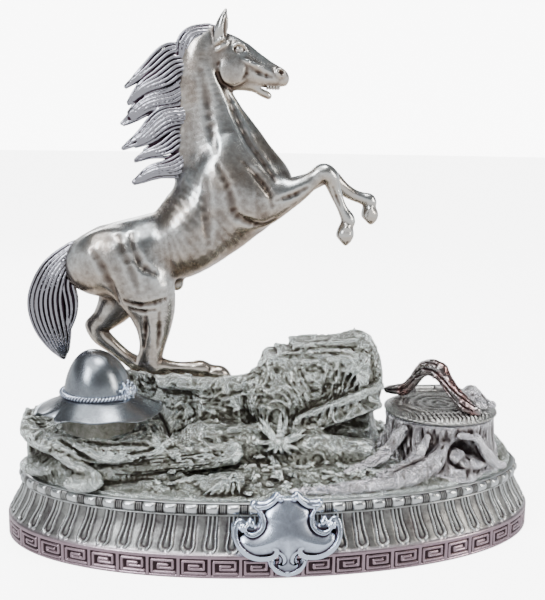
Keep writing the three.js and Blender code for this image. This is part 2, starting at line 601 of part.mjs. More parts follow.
function nearForeleg(grow) {
  return limb([[-6, 177, 11], [5, 181.5, 8], [13, 185, 6], [20, 190, 5], [26.7, 193.5, 5.4],
    [31.2, 187, 4.2],
    [34.7, 179, 3.3], [37.7, 173, 3], [40.5, 168.2, 3.8], [39.5, 165, 3.4], [38.2, 162, 4.6],
    [38.2, 158.4, 4.2],
    [39, 154.4, 2.2]].map(inPlane(HORSE_Y - LEG_SPREAD, 0.88)), { grow });
}

function farForeleg(grow) {
  return limb([[-4, 177.5, 10.5], [13, 182.7, 7.3], [23.4, 188, 5.6], [31.7, 191.6, 5.4], [38, 186.3, 4.6],
    [45.3, 181, 3.8], [51.6, 178.5, 3.5], [55.8, 176.6, 4], [56, 173.6, 3.6], [55.6, 170.6, 4.9],
    [56.6, 167.6, 4.6],
    [59, 164.4, 2.3]].map(inPlane(HORSE_Y + LEG_SPREAD, 0.88)), { grow });
}

function nearHindLeg(grow) {
  return limb([[-76, 142, 16], [-70, 130, 16, 0.8], [-67, 119, 12.7, 0.8], [-66, 109, 9.8, 0.82],
    [-66.5, 100, 7.6],
    [-67, 92.3, 6.8], [-66.5, 87.2, 5.4], [-60, 85.7, 4.5], [-53, 85, 3.9], [-46, 85, 3.9], [-40, 84.8, 4.5],
    [-35, 83.6, 3.9], [-31, 82.4, 4.9], [-27, 81.4, 4.5], [-23.6, 80.4, 2.4]]
    .map(inPlane(HORSE_Y - LEG_SPREAD, 0.85)), { grow });
}

function farHindLeg(grow) {
  return limb([[-78, 138, 15], [-81.3, 128.3, 14.6, 0.75], [-87.5, 116.7, 10.5, 0.75],
    [-93.8, 109.4, 7.7, 0.82],
    [-98.6, 103.6, 6.2], [-94.9, 97.9, 5.2], [-88.6, 92.2, 4.5], [-82.3, 86.4, 4.2], [-77.1, 82.6, 4.5],
    [-72.9, 80.2, 4], [-68.7, 78.8, 4.9], [-64.5, 77.6, 4.5], [-61.4, 76.8, 2.4]]
    .map(inPlane(HORSE_Y + LEG_SPREAD, 0.85)), { grow });
}

const STUD_RADIUS = 1.6;
const STUD_PLACES = [[-47, HORSE_Y - LEG_SPREAD], [-77, HORSE_Y + LEG_SPREAD]];
const STUD_TOPS = [85.5, 83.5].map((z) => z + HORSE_RISE);
const studBores = () => joined(STUD_PLACES.map(([x, y], i) =>
  cylinder(STUD_RADIUS + RUNNING, 20, STUD_TOPS[i] + 0.5, x, y, 12)));
const studSeat = ([x, y]) => lowestNearby(x, y, 13) - GROUND_WALL - 3;

// Under the rock, the flat that each stud's washer is pulled up against.
function studBoss([x, y]) {
  return cylinder(6, studSeat([x, y]) + GAP, lowestNearby(x, y, 6) - 1, x, y, 12);
}

function horseStud(place, top) {
  return cylinder(STUD_RADIUS, studSeat(place) - 7, top, ...place, 12);
}

function studWasher(place) {
  const seat = studSeat(place);
  return lathe([[STUD_RADIUS + RUNNING, seat - 1], [4.6, seat - 1], [4.6, seat],
    [STUD_RADIUS + RUNNING, seat],
    [STUD_RADIUS + RUNNING, seat - 1]], ...place, 12);
}

function studNut(place) {
  const seat = studSeat(place) - 1 - GAP;
  return lathe([[STUD_RADIUS + RUNNING, seat - 3.2], [3.7, seat - 3.2], [3.7, seat],
    [STUD_RADIUS + RUNNING, seat],
    [STUD_RADIUS + RUNNING, seat - 3.2]], ...place, 6);
}

const legBulks = (grow) => [nearForeleg(grow), farForeleg(grow), nearHindLeg(grow), farHindLeg(grow)];

function horseBody() {
  return horseBulk(0);
}

function horseLeg(leg) {
  return largest(onGround(leg(0)).subtract(horseBulk(GAP)).subtract(studBores()));
}

// Locks of hair flung back from the crest: root, two bends and tip, in the horse's middle plane.
const LOCKS = [
  [[-42, 262], [-57, 256], [-69, 248], [-80.5, 237.2]],
  [[-45, 251], [-58, 246.5], [-69, 238], [-78.6, 228.4]],
  [[-46, 240], [-60, 235.5], [-71, 227.5], [-82.6, 218.2]],
  [[-45, 227], [-58, 222], [-70, 214], [-82, 205.4]],
  [[-44, 215], [-56, 210.5], [-67, 204.5], [-75.5, 198.2]],
  [[-44, 204], [-56, 199.5], [-67, 193], [-77, 186.5]],
];

function horseMane() {
  const crest = limb([[-31, 268.5, 3.5], [-38, 267.5, 6.2], [-45, 261, 7], [-48, 249, 7.4], [-48, 236, 7.4],
    [-47.5, 221, 7.4], [-47.5, 206, 7.6], [-50, 192, 6], [-56, 182.5, 2.4]].map(inPlane(HORSE_Y, 0.8)),
  { sides: 10 });
  const locks = LOCKS.map((path, i) => {
    const radii = [8, 6.6, 4.8, 1];
    const sway = i % 2 ? 2 : -2;
    return limb(path.map(([x, z], k) => [x, HORSE_Y + sway * (k / 3), z + HORSE_RISE, radii[k], 0.62]),
      { sides: 8 });
  });
  return largest(joined([crest, ...locks]).subtract(horseBulk(GAP)));
}

function horseTail() {
  const strand = (shift, reach) => limb([[-103.5, 151.5, 4.4], [-111, 148, 6], [-118 - reach, 139.5, 7.4],
    [-121.5 - reach, 128, 8.4], [-122 - reach, 118, 8.4], [-121 - reach * 0.6, 107.5, 7.2],
    [-119, 99.5, 5.2],
    [-117.3, 93.5, 3.4], [-116.2, 89, 1.4]].map(inPlane(HORSE_Y + shift, 0.72)), { sides: 8 });
  const strands = [strand(-2.5, 1.5), strand(2.5, 1.5), strand(0, -2.5)];
  return largest(joined(strands).subtract(horseBulk(GAP)));
}

// ---------- materials ----------
function metal(red, green, blue, roughness = 0.38) {
  const color = new THREE.Color(red, green, blue);
  return new THREE.MeshStandardMaterial({ color, roughness, metalness: 1 });
}

const PEWTER = metal(0.5, 0.48, 0.49, 0.3);
const DARK_PEWTER = metal(0.4, 0.35, 0.38);
const MOSSY = metal(0.42, 0.41, 0.33, 0.5);
const PLINTH_METAL = metal(0.42, 0.38, 0.4);
const STEEL = metal(0.55, 0.55, 0.56, 0.35);
const POT_GLASS = new THREE.MeshStandardMaterial({ color: 0xc8d6d2, roughness: 0.08, transparent: true,
  opacity: 0.35 });

// ---------- assembly ----------
const inkwell = new THREE.Group();
const upper = new THREE.Group(); // everything that stands on the plinth
upper.position.z = PLINTH_HEIGHT - TOP_DATUM;
inkwell.add(upper);

function addPiece(group, name, solid, material) {
  const mesh = new THREE.Mesh(toGeometry(solid), material);
  mesh.name = name;
  group.add(mesh);
}

function addPlinth() {
  addPiece(inkwell, "plinth", plinthSolid(), PLINTH_METAL);
  addPiece(inkwell, "front_cartouche", largest(cartoucheSolid()), PEWTER);
  SCREW_PLACES.forEach((place, i) => addPiece(upper, `ground_screw_${i + 1}`, groundScrew(place), STEEL));
}

function addGround() {
  addPiece(upper, "ground", groundSolid(), MOSSY);
  addPiece(upper, "rock_outcrop", largest(outcropSolid()), MOSSY);
  addPiece(upper, "fallen_log", largest(logSolid()), MOSSY);
  addPiece(upper, "hat_well_collar", largest(wellCollar()), MOSSY);
  addPiece(upper, "left_ink_pot", potSolid(HAT_POT, HAT_POT_SEAT, HAT.x, HAT.y), POT_GLASS);
}

function addStump() {
  addPiece(upper, "stump", largest(stumpSolid()), MOSSY);
  addPiece(upper, "right_ink_pot", potSolid(STUMP_POT, STUMP_POT_SEAT, STUMP.x, STUMP.y), POT_GLASS);
  addPiece(upper, "hinge_bracket_left", hingeBracket(-1), DARK_PEWTER);
  addPiece(upper, "hinge_bracket_right", hingeBracket(1), DARK_PEWTER);
  addPiece(upper, "hinge_pin", hingePin(), STEEL);
}

function addStumpLid() {
  const lid = new THREE.Group();
  addPiece(lid, "stump_lid", lidSolid(), DARK_PEWTER);
  addPiece(lid, "branch_handle", largest(handleSolid()), PEWTER);
  addPiece(lid, "lid_bark_lump", largest(barkLump()), MOSSY);
  HANDLE_SCREWS.forEach((place, i) => addPiece(lid, `handle_screw_${i + 1}`, handleScrew(place), STEEL));
  upper.add(lid);
}

function addHat() {
  const hat = new THREE.Group();
  addPiece(hat, "hat", hatSolid(), DARK_PEWTER);
  addPiece(hat, "hat_band", largest(hatBand()), PEWTER);
  addPiece(hat, "hat_rosette", hatRosette(), PEWTER);
  upper.add(hat);
}

function addHorse() {
  addPiece(upper, "horse_body", horseBody(), PEWTER);
  addPiece(upper, "horse_mane", horseMane(), DARK_PEWTER);
  addPiece(upper, "horse_tail", horseTail(), DARK_PEWTER);
  addPiece(upper, "near_foreleg", horseLeg(nearForeleg), PEWTER);
  addPiece(upper, "far_foreleg", horseLeg(farForeleg), PEWTER);
  addPiece(upper, "near_hind_leg", horseLeg(nearHindLeg), PEWTER);
  addPiece(upper, "far_hind_leg", horseLeg(farHindLeg), PEWTER);
  STUD_PLACES.forEach((place, i) => {
    addPiece(upper, `horse_stud_${i + 1}`, horseStud(place, STUD_TOPS[i]), STEEL);
    addPiece(upper, `horse_washer_${i + 1}`, studWasher(place), STEEL);
    addPiece(upper, `horse_nut_${i + 1}`, studNut(place), STEEL);
  });
}

addPlinth();
addGround();
addStump();
addStumpLid();
addHat();
addHorse();

export default inkwell;
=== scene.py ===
"""Looks of the figural horse inkwell: sculpted castings, chased plinth and patinated metal."""
import math

import bpy
import numpy as np
import openvdb
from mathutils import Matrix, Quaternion, Vector


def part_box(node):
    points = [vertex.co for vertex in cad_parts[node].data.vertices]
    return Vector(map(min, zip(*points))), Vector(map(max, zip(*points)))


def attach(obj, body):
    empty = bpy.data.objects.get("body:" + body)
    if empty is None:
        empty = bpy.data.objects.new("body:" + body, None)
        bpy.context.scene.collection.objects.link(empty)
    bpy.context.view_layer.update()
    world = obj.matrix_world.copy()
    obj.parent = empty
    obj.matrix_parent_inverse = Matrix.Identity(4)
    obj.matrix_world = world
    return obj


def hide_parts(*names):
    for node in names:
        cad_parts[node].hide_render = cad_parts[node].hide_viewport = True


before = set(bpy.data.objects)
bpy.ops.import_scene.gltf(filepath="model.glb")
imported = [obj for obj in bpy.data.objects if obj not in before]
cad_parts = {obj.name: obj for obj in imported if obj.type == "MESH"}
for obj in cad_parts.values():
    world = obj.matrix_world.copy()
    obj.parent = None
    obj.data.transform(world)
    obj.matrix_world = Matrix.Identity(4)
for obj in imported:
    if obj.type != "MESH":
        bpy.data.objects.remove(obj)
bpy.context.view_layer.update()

MM = 0.001
HORSE_Y = 20.0          # the horse's middle plane, in mm
NEAR_Y = HORSE_Y - 11   # its near pair of legs
FAR_Y = HORSE_Y + 11    # its far pair

# Cell sizes of the clay, in mm.
CASTING_CELL = 0.78
STUMP_CELL = 0.62
LID_CELL = 0.5
HAIR_CELL = 0.48
BRANCH_CELL = 0.45
SHIELD_CELL = 0.42
KNOT_CELL = 0.3

NOISE_VALUES = 4096                   # random values behind a noise lattice, a power of two
NOISE_STEPS = (1619, 31337, 6971)     # how far one cell along x, y or z moves through them
SAMPLED_FACES = 40000                 # faces looked at to tell which way a mesh is turned


# ---------- modelling clay: a block of signed distances ----------
def smooth_path(stations, steps=5):
    """Stations joined by a Catmull-Rom curve, every column of them interpolated."""
    points = np.array(stations, float)
    padded = np.vstack([2 * points[0] - points[1], points, 2 * points[-1] - points[-2]])
    rows = []
    for i in range(1, len(padded) - 2):
        a, b, c, d = padded[i - 1:i + 3]
        for t in np.arange(steps) / steps:
            rows.append(0.5 * (2 * b + (c - a) * t + (2 * a - 5 * b + 4 * c - d) * t ** 2
                               + (3 * b - 3 * c + d - a) * t ** 3))
    rows.append(points[-1])
    return np.array(rows)


def box_blur(field, cells):
    """Mean over a cube of 2 * cells + 1 cells, one axis at a time."""
    for axis in range(3):
        padded = np.pad(field, [(cells + 1, cells) if k == axis else (0, 0) for k in range(3)], "edge")
        total = np.cumsum(padded, axis=axis, dtype=np.float64)
        high = np.take(total, np.arange(2 * cells + 1, total.shape[axis]), axis)
        low = np.take(total, np.arange(0, total.shape[axis] - 2 * cells - 1), axis)
        field = ((high - low) / (2 * cells + 1)).astype(np.float32)
    return field


def lattice_noise(points, size, seed):
    """Smooth value noise between -1 and 1 at points, one lattice cell being size mm wide."""
    rng = np.random.default_rng(seed)
    table = rng.uniform(-1, 1, NOISE_VALUES).astype(np.float32)
    scaled = np.asarray(points, np.float32) / size + 100.0
    whole = np.floor(scaled).astype(np.int64)
    part = scaled - whole
    part = part * part * (3 - 2 * part)
    total = np.zeros(scaled.shape[:-1], np.float32)
    for corner in range(8):
        offset = np.array([(corner >> k) & 1 for k in range(3)])
        spot = whole + offset
        weight = np.prod(np.where(offset == 1, part, 1 - part), axis=-1)
        index = sum(spot[..., k] * NOISE_STEPS[k] for k in range(3)) & (NOISE_VALUES - 1)
        total += table[index] * weight
    return total


def layered_noise(points, size, seed, octaves=3):
    """Lattice noise with finer and weaker noise on top of it."""
    total = 0
    for k in range(octaves):
        total = total + lattice_noise(points, size / 2 ** k, seed + k) / 2 ** k
    return total


class Clay:
    """A block of cells, each of which holds its signed distance in mm from the surface."""

    FAR = 9.0          # the greatest distance kept
    THINNEST = 0.12    # the least radius of a tube
    WANDER = 3.0       # how far chiselled strokes turn, in radians
    WANDER_MM = 21     # over what distance they turn
    CREASE_MM = 0.8    # reach of the fine part of the cavity value
    DIP_MM = 2.6       # reach of its broad part

    def __init__(self, low, high, cell):
        self.low = np.array(low, float)
        self.cell = cell
        self.shape = np.ceil((np.array(high, float) - self.low) / cell).astype(int) + 1
        self.field = np.full(self.shape, self.FAR, np.float32)

    def window(self, low, high, margin):
        """The cells within margin of a box: their slices, and their places along x, y and z."""
        first = np.floor((np.array(low) - margin - self.low) / self.cell).astype(int)
        last = np.ceil((np.array(high) + margin - self.low) / self.cell).astype(int) + 1
        first = np.clip(first, 0, self.shape)
        last = np.clip(last, 0, self.shape)
        if np.any(last <= first):
            first = np.clip(first, 0, self.shape - 1)
            last = first + 1
        axes = []
        for k in range(3):
            axes.append((self.low[k] + self.cell * np.arange(first[k], last[k])).astype(np.float32))
        spots = (axes[0][:, None, None], axes[1][None, :, None], axes[2][None, None, :])
        return tuple(slice(a, b) for a, b in zip(first, last)), spots

    def _mix(self, where, distance, blend, cut):
        """Join a form to the clay or cut it away, with the seam rounded by blend."""
        old = self.field[where]
        new = -distance if cut else distance
        flip = -1 if cut else 1
        a, b = flip * old, flip * new
        if blend > 0:
            h = np.maximum(blend - np.abs(a - b), 0) / blend
            mixed = np.minimum(a, b) - h * h * blend * 0.25
        else:
            mixed = np.minimum(a, b)
        self.field[where] = flip * mixed

    def tube(self, stations, blend=0.0, cut=False, steps=5):
        """A limb along [x, y, z, radius, flatness]; flatness squeezes it along Y."""
        rows = [list(s) + [1.0] * (5 - len(s)) for s in stations]
        path = smooth_path(rows, steps) if len(rows) > 2 and steps > 1 else np.array(rows, float)
        path[:, 3] = np.maximum(path[:, 3], self.THINNEST)
        spare = blend + 2.5 * self.cell + 2
        where, (x, y, z) = self.window(path[:, :3].min(0), path[:, :3].max(0), path[:, 3].max() + spare)
        best = np.full(np.broadcast_shapes(x.shape, y.shape, z.shape), self.FAR * 2, np.float32)
        low = np.array([x.flat[0], y.flat[0], z.flat[0]])
        for a, b in zip(path[:-1], path[1:]):
            flat = (a[4] + b[4]) / 2
            margin = max(a[3], b[3]) * max(flat, 1) + spare
            first = np.floor((np.minimum(a[:3], b[:3]) - margin - low) / self.cell).astype(int)
            last = np.ceil((np.maximum(a[:3], b[:3]) + margin - low) / self.cell).astype(int) + 1
            first = np.clip(first, 0, best.shape)
            last = np.clip(last, 0, best.shape)
            part = tuple(slice(p, q) for p, q in zip(first, last))
            px, py, pz = x[part[0]] - a[0], y[:, part[1]] - a[1], z[:, :, part[2]] - a[2]
            way = b[:3] - a[:3]
            span = float(way @ way) + 1e-9
            t = np.clip((px * way[0] + py * way[1] + pz * way[2]) / span, 0, 1)
            off_x, off_y, off_z = px - t * way[0], (py - t * way[1]) / flat, pz - t * way[2]
            radius = a[3] + (b[3] - a[3]) * t
            distance = np.sqrt(off_x ** 2 + off_y ** 2 + off_z ** 2) - radius
            best[part] = np.minimum(best[part], distance * min(1, 0.5 + flat / 2))
        self._mix(where, best, blend, cut)

    def blob(self, centre, radii, blend=0.0, cut=False, tilt=0.0):
        """An ellipsoid, tilted about Y by so many degrees."""
        reach = max(radii) + blend + 2 * self.cell + 1
        where, spots = self.window(centre, centre, reach)
        x, y, z = (s - c for s, c in zip(spots, centre))
        x, y, z = turned(x, y, z, tilt)
        share = np.sqrt((x / radii[0]) ** 2 + (y / radii[1]) ** 2 + (z / radii[2]) ** 2)
        slope = np.sqrt((x / radii[0] ** 2) ** 2 + (y / radii[1] ** 2) ** 2 + (z / radii[2] ** 2) ** 2)
        distance = np.clip(share * (share - 1) / (slope + 1e-4), -self.FAR, self.FAR)
        self._mix(where, distance.astype(np.float32), blend, cut)

    def block(self, centre, half, round_off=0.5, blend=0.0, cut=False, tilt=0.0, turn=0.0):
        """A box with rounded edges, turned about Z and tilted about Y, in degrees."""
        reach = float(np.linalg.norm(half)) + blend + 2 * self.cell
        where, spots = self.window(centre, centre, reach)
        x, y, z = (s - c for s, c in zip(spots, centre))
        x, y, z = turned(x, y, z, tilt, turn)
        over = [np.abs(v) - (h - round_off) for v, h in zip((x, y, z), half)]
        outside = np.sqrt(sum(np.maximum(v, 0) ** 2 for v in over))
        inside = np.minimum(np.maximum(np.maximum(over[0], over[1]), over[2]), 0)
        self._mix(where, (outside + inside - round_off).astype(np.float32), blend, cut)

    def cut_below(self, point, normal):
        """Take away what lies behind a plane."""
        where, (x, y, z) = self.window(self.low, self.low + self.cell * self.shape, 0)
        normal = np.array(normal, float) / np.linalg.norm(normal)
        distance = (x - point[0]) * normal[0] + (y - point[1]) * normal[1] + (z - point[2]) * normal[2]
        self.field[where] = np.maximum(self.field[where], -distance)

    def surface_y(self, x, z, side):
        """Where the clay's surface is met by a line along Y, coming from the near (-1) or far (1) side."""
        i, k = (int(round((v - low) / self.cell)) for v, low in ((x, self.low[0]), (z, self.low[2])))
        column = self.field[np.clip(i, 0, self.shape[0] - 1), :, np.clip(k, 0, self.shape[2] - 1)]
        inside = np.nonzero(column < 0)[0]
        if len(inside) == 0:
            return None
        spot = inside[0] if side < 0 else inside[-1]
        return self.low[1] + self.cell * spot

    def stroke(self, points, radius, lift, blend=0.8, cut=False, sides=(-1, 1)):
        """A line drawn on the flanks: lift is how far its middle stands off the surface there."""
        for side in sides:
            path = smooth_path(points)
            stations = []
            for x, z in path[:, :2]:
                y = self.surface_y(x, z, side)
                if y is None:
                    continue
                stations.append([x, y + side * lift, z, radius])
            if len(stations) > 2:
                count = len(stations)
                for j in range(count):
                    stations[j][3] = radius * min(1, 0.35 + 2.2 * min(j, count - 1 - j) / count)
                self.tube(stations, blend, cut, steps=1)

    def form(self, low, high, distance_at, cut=False):
        """Add or cut any form given as a function of x, y and z."""
        where, (x, y, z) = self.window(low, high, 2)
        distance = np.broadcast_to(distance_at(x, y, z), np.broadcast_shapes(x.shape, y.shape, z.shape))
        self._mix(where, np.clip(distance, -self.FAR, self.FAR).astype(np.float32), 0, cut)

    def form_everywhere(self, distance_at, cut=False):
        self.form(self.low, self.low + self.cell * self.shape, distance_at, cut)

    def near_surface(self, reach):
        """The cells within reach of the surface, and their places."""
        near = np.nonzero(np.abs(self.field) < reach)
        return near, np.stack([self.low[k] + self.cell * near[k] for k in range(3)], -1)

    def ripple(self, amount, size, seed, octaves=2, where_to=None, stretch=(1, 1, 1)):
        """Push the surface in and out by layered noise; stretch above 1 draws the noise out that way."""
        near, spots = self.near_surface(3)
        push = amount * layered_noise(spots / np.array(stretch), size, seed, octaves)
        if where_to is not None:
            push = push * where_to(spots)
        self.field[near] += push.astype(np.float32)

    def chase(self, amount, width, length, seed, where_to=None):
        """Short chiselled strokes whose direction wanders over the surface, in relief."""
        near, spots = self.near_surface(2.5)
        lean = self.WANDER * lattice_noise(spots, self.WANDER_MM, seed)
        across = spots[:, 0] * np.cos(lean) + spots[:, 2] * np.sin(lean)
        along = spots[:, 2] * np.cos(lean) - spots[:, 0] * np.sin(lean) + 0.8 * spots[:, 1]
        drawn = np.stack([across / width, along / length, spots[:, 1] / (1.6 * width)], -1)
        push = amount * lattice_noise(drawn, 1.0, seed + 1)
        if where_to is not None:
            push = push * where_to(spots)
        self.field[near] += push.astype(np.float32)

    def sample(self, grid, points):
        """Values of a grid of the clay's shape at points between its cells."""
        spot = (points - self.low) / self.cell
        whole = np.clip(np.floor(spot).astype(int), 0, self.shape - 2)
        part = spot - whole
        total = np.zeros(len(points))
        for corner in range(8):
            offset = np.array([(corner >> k) & 1 for k in range(3)])
            weight = np.prod(np.where(offset == 1, part, 1 - part), axis=-1)
            index = whole + offset
            total += weight * grid[index[:, 0], index[:, 1], index[:, 2]]
        return total

    def to_object(self, name, material, hollow_scale=1.6):
        """Mesh the zero surface, with how hollow each spot is kept as the attribute 'cavity'."""
        for axis in range(3):
            edge = [slice(None)] * 3
            for end in (0, -1):
                edge[axis] = end
                self.field[tuple(edge)] = np.maximum(self.field[tuple(edge)], 0.01)
        grid = openvdb.FloatGrid(self.FAR)
        grid.copyFromArray(np.ascontiguousarray(self.field))
        points, quads = grid.convertToQuads(isovalue=0)
        points = points * self.cell + self.low
        fine = box_blur(self.field, max(1, round(self.CREASE_MM / self.cell)))
        broad = box_blur(self.field, max(2, round(self.DIP_MM / self.cell)))
        here = self.sample(self.field, points)
        hollow = -(self.sample(fine, points) - here) * 1.6
        hollow = hollow - (self.sample(broad, points) - here) * 0.55
        return mesh_object(name, points, quads, material, hollow * hollow_scale)


def turned(x, y, z, tilt, turn=0.0):
    """Coordinates seen from a frame that is turned about Z and tilted about Y, in degrees."""
    if turn:
        c, s = math.cos(math.radians(turn)), math.sin(math.radians(turn))
        x, y = x * c + y * s, y * c - x * s
    if tilt:
        c, s = math.cos(math.radians(tilt)), math.sin(math.radians(tilt))
        x, z = x * c - z * s, z * c + x * s
    return x, y, z


def mesh_object(name, points, faces, material, hollow):
    """A piece from points in mm, with its faces turned outwards."""
    points = np.asarray(points, float)
    faces = [tuple(int(i) for i in f) for f in faces]
    first = np.array([f[:3] for f in faces[::max(1, len(faces) // SAMPLED_FACES)]])
    volume = np.einsum("ij,ij->i", points[first[:, 0]],
                       np.cross(points[first[:, 1]], points[first[:, 2]])).sum()
    if volume < 0:
        faces = [f[::-1] for f in faces]
    mesh = bpy.data.meshes.new(name)
    mesh.from_pydata((points * MM).tolist(), [], faces)
    mesh.polygons.foreach_set("use_smooth", [True] * len(mesh.polygons))
    layer = mesh.attributes.new("cavity", "FLOAT", "POINT")
    layer.data.foreach_set("value", np.clip(hollow, -1, 1).astype(np.float32))
    mesh.materials.append(material)
    piece = bpy.data.objects.new(name, mesh)
    bpy.context.collection.objects.link(piece)
    return piece


# ---------- materials ----------
class Recipe:
    """A small helper that adds linked shader nodes to one material."""

    def __init__(self, name):
        self.material = bpy.data.materials.new(name)
        self.material.use_nodes = True
        self.tree = self.material.node_tree
        self.shader = self.tree.nodes["Principled BSDF"]

    def add(self, kind, inputs=None, **settings):
        made = self.tree.nodes.new("ShaderNode" + kind)
        for key, value in settings.items():
            setattr(made, key, value)
        for key, value in (inputs or {}).items():
            socket = made.inputs[key]
            if isinstance(value, bpy.types.NodeSocket):
                self.tree.links.new(value, socket)
            else:
                socket.default_value = value
        return made

    def link(self, output, key):
        self.tree.links.new(output, self.shader.inputs[key])

    def ramp(self, value, stops):
        """A colour read off stops, each a place and a colour."""
        made = self.add("ValToRGB", {"Fac": value})
        while len(made.color_ramp.elements) < len(stops):
            made.color_ramp.elements.new(0.5)
        for element, (place, colour) in zip(made.color_ramp.elements, stops):
            element.position = place
            element.color = (*colour, 1)
        return made.outputs["Color"]

    def mix(self, share, a, b, mode="MIX"):
        """One colour laid over another by share."""
        made = self.add("Mix", data_type="RGBA", blend_type=mode)
        for index, value in ((0, share), (6, a), (7, b)):
            socket = made.inputs[index]
            if isinstance(value, bpy.types.NodeSocket):
                self.tree.links.new(value, socket)
            else:
                socket.default_value = value if index == 0 else (*value, 1)
        return made.outputs[2]

    def calc(self, a, b, operation="ADD", clamp=False):
        """The sum of two values, or another operation on them."""
        made = self.add("Math", operation=operation, use_clamp=clamp)
        for index, value in ((0, a), (1, b)):
            if isinstance(value, bpy.types.NodeSocket):
                self.tree.links.new(value, made.inputs[index])
            else:
                made.inputs[index].default_value = value
        return made.outputs[0]

    def swing(self, noise, gain):
        """A noise around 0.5 turned into one around 0."""
        return self.calc(self.calc(noise, -0.5), gain, "MULTIPLY")

    def band(self, value, start, end):
        """0 at start and 1 at end, whichever of them is the greater."""
        return self.add("MapRange", {"Value": value, "From Min": start, "From Max": end}).outputs["Result"]

    def height(self):
        """Height above the floor, in metres."""
        return self.add("SeparateXYZ", {"Vector": self.add("TexCoord").outputs["Object"]}).outputs["Z"]

    def bump(self, height, strength, depth_mm):
        settings = {"Height": height, "Strength": strength, "Distance": depth_mm * MM}
        self.link(self.add("Bump", settings).outputs["Normal"], "Normal")

    def cloud(self, place, size_mm, detail, rough, stretch):
        """Noise of one size at a place, drawn out where stretch is below 1."""
        scaled = self.add("Mapping", {"Vector": place, "Scale": stretch}).outputs["Vector"]
        settings = {"Vector": scaled, "Scale": 1 / (size_mm * MM), "Detail": detail, "Roughness": rough}
        return self.add("TexNoise", settings).outputs["Fac"]

    def noise(self, size_mm, detail=4, rough=0.6, stretch=(1, 1, 1)):
        return self.cloud(self.add("TexCoord").outputs["Object"], size_mm, detail, rough, stretch)

    def strokes(self, width_mm, length_mm):
        """Noise drawn out into short lines, turned this way and that by a broader noise."""
        place = self.add("TexCoord").outputs["Object"]
        swirl = self.calc(self.noise(SWIRL_MM, 2, 0.5), SWIRL_TURN, "MULTIPLY")
        swirled = self.add("VectorRotate", {"Vector": place, "Angle": swirl}, rotation_type="Y_AXIS")
        thin = width_mm / length_mm
        return self.cloud(swirled.outputs["Vector"], width_mm, 2, 0.5, (1, thin, thin))


SPECK_MM = 2.6
SPECK_WEAR, SPECK_LIFT = 0.34, 1.6      # what specks add to the wear and to the relief
CLOUD_WEAR = 0.55
STROKE_MM = (0.75, 4.2)                 # width and length of a chased line
STROKE_WEAR, STROKE_LIFT = -1.5, 6.0
SWIRL_MM, SWIRL_TURN = 17, 14.0         # how the chased lines turn from place to place
RELIEF_MM = 0.15
BRIGHT_END, MIDDLE_AT, DARK_FROM = 0.34, 0.56, 0.86


def patina(name, bright, middle, dark, tint=None, tint_zone=None, rough=(0.2, 0.46), grain_mm=0.9,
           bump=0.35, patch_mm=14, lean=0.0, strokes=0.0):
    """Old silvered metal: bright where worn, dark in the hollows, clouded by tarnish in between.

    tint is multiplied in where tint_zone says, rough is the roughness of worn and of dark metal,
    and lean makes the whole darker. strokes adds short chased lines whose direction wanders."""
    mix = Recipe(name)
    hollow = mix.add("Attribute", attribute_name="cavity").outputs["Fac"]
    clouds = mix.noise(patch_mm, 5, 0.62)
    specks = mix.noise(SPECK_MM, 4, 0.7)
    wear = mix.calc(hollow, 0.5 + lean)
    wear = mix.calc(wear, mix.swing(clouds, CLOUD_WEAR))
    wear = mix.calc(wear, mix.swing(specks, SPECK_WEAR), clamp=True)
    height = mix.calc(mix.noise(grain_mm, 3, 0.6), mix.calc(specks, SPECK_LIFT, "MULTIPLY"))
    if strokes:
        lines = mix.strokes(*STROKE_MM)
        wear = mix.calc(wear, mix.swing(lines, STROKE_WEAR * strokes), clamp=True)
        height = mix.calc(height, mix.calc(lines, STROKE_LIFT * strokes, "MULTIPLY"))
    colour = mix.ramp(wear, [(0.0, bright), (BRIGHT_END, bright), (MIDDLE_AT, middle), (DARK_FROM, dark)])
    if tint is not None:
        colour = mix.mix(tint_zone(mix), colour, tint, "MULTIPLY")
    mix.link(colour, "Base Color")
    shine = mix.add("MapRange", {"Value": wear, "To Min": rough[0], "To Max": rough[1]}).outputs["Result"]
    mix.link(shine, "Roughness")
    mix.shader.inputs["Metallic"].default_value = 1.0
    mix.bump(height, bump, RELIEF_MM)
    return mix.material


def copper_wear_and_reflection(mix):
    """Warm tint: random patches where the horse's silvering has worn to copper, plus a painted warm
    reflection of the table on downward-facing surfaces and low down on the legs.
    """
    facing = mix.add("SeparateXYZ", {"Vector": mix.add("NewGeometry").outputs["Normal"]}).outputs["Z"]
    # painted reflection: surfaces that face downwards take the warm tint
    under = mix.band(facing, 0.35, -0.7)
    clouds = mix.band(mix.noise(26, 3, 0.5), 0.4, 0.62)
    # painted reflection: the warm tint also covers everything below about 100 to 150 mm
    low_reflection = mix.band(mix.height(), 0.15, 0.1)
    reflection_and_wear = mix.calc(under, mix.calc(clouds, 0.55, "MULTIPLY"), "MAXIMUM")
    return mix.calc(reflection_and_wear, mix.calc(low_reflection, 0.6, "MULTIPLY"), "MAXIMUM")


SILVER = (0.5, 0.535, 0.55)
UMBER = (0.065, 0.052, 0.047)

# the warm tint is copper wear plus a painted reflection of the table on the undersides and low parts
HORSE_METAL = patina("horse_patina", SILVER, (0.23, 0.228, 0.224), UMBER, (0.92, 0.68, 0.5), copper_wear_and_reflection,
                     rough=(0.16, 0.36), patch_mm=24, lean=0.02, bump=0.22)
HAIR_METAL = patina("hair_patina", (0.29, 0.285, 0.315), (0.13, 0.105, 0.118), (0.03, 0.018, 0.026),
                    rough=(0.18, 0.42), lean=0.12)


# ---------- horse ----------
def in_plane(y, rows, flatness=0.9):
    """Stations in the plane y from rows of (x, z, radius[, flatness])."""
    return [[s[0], y, s[1], s[2], s[3] if len(s) > 3 else flatness] for s in rows]


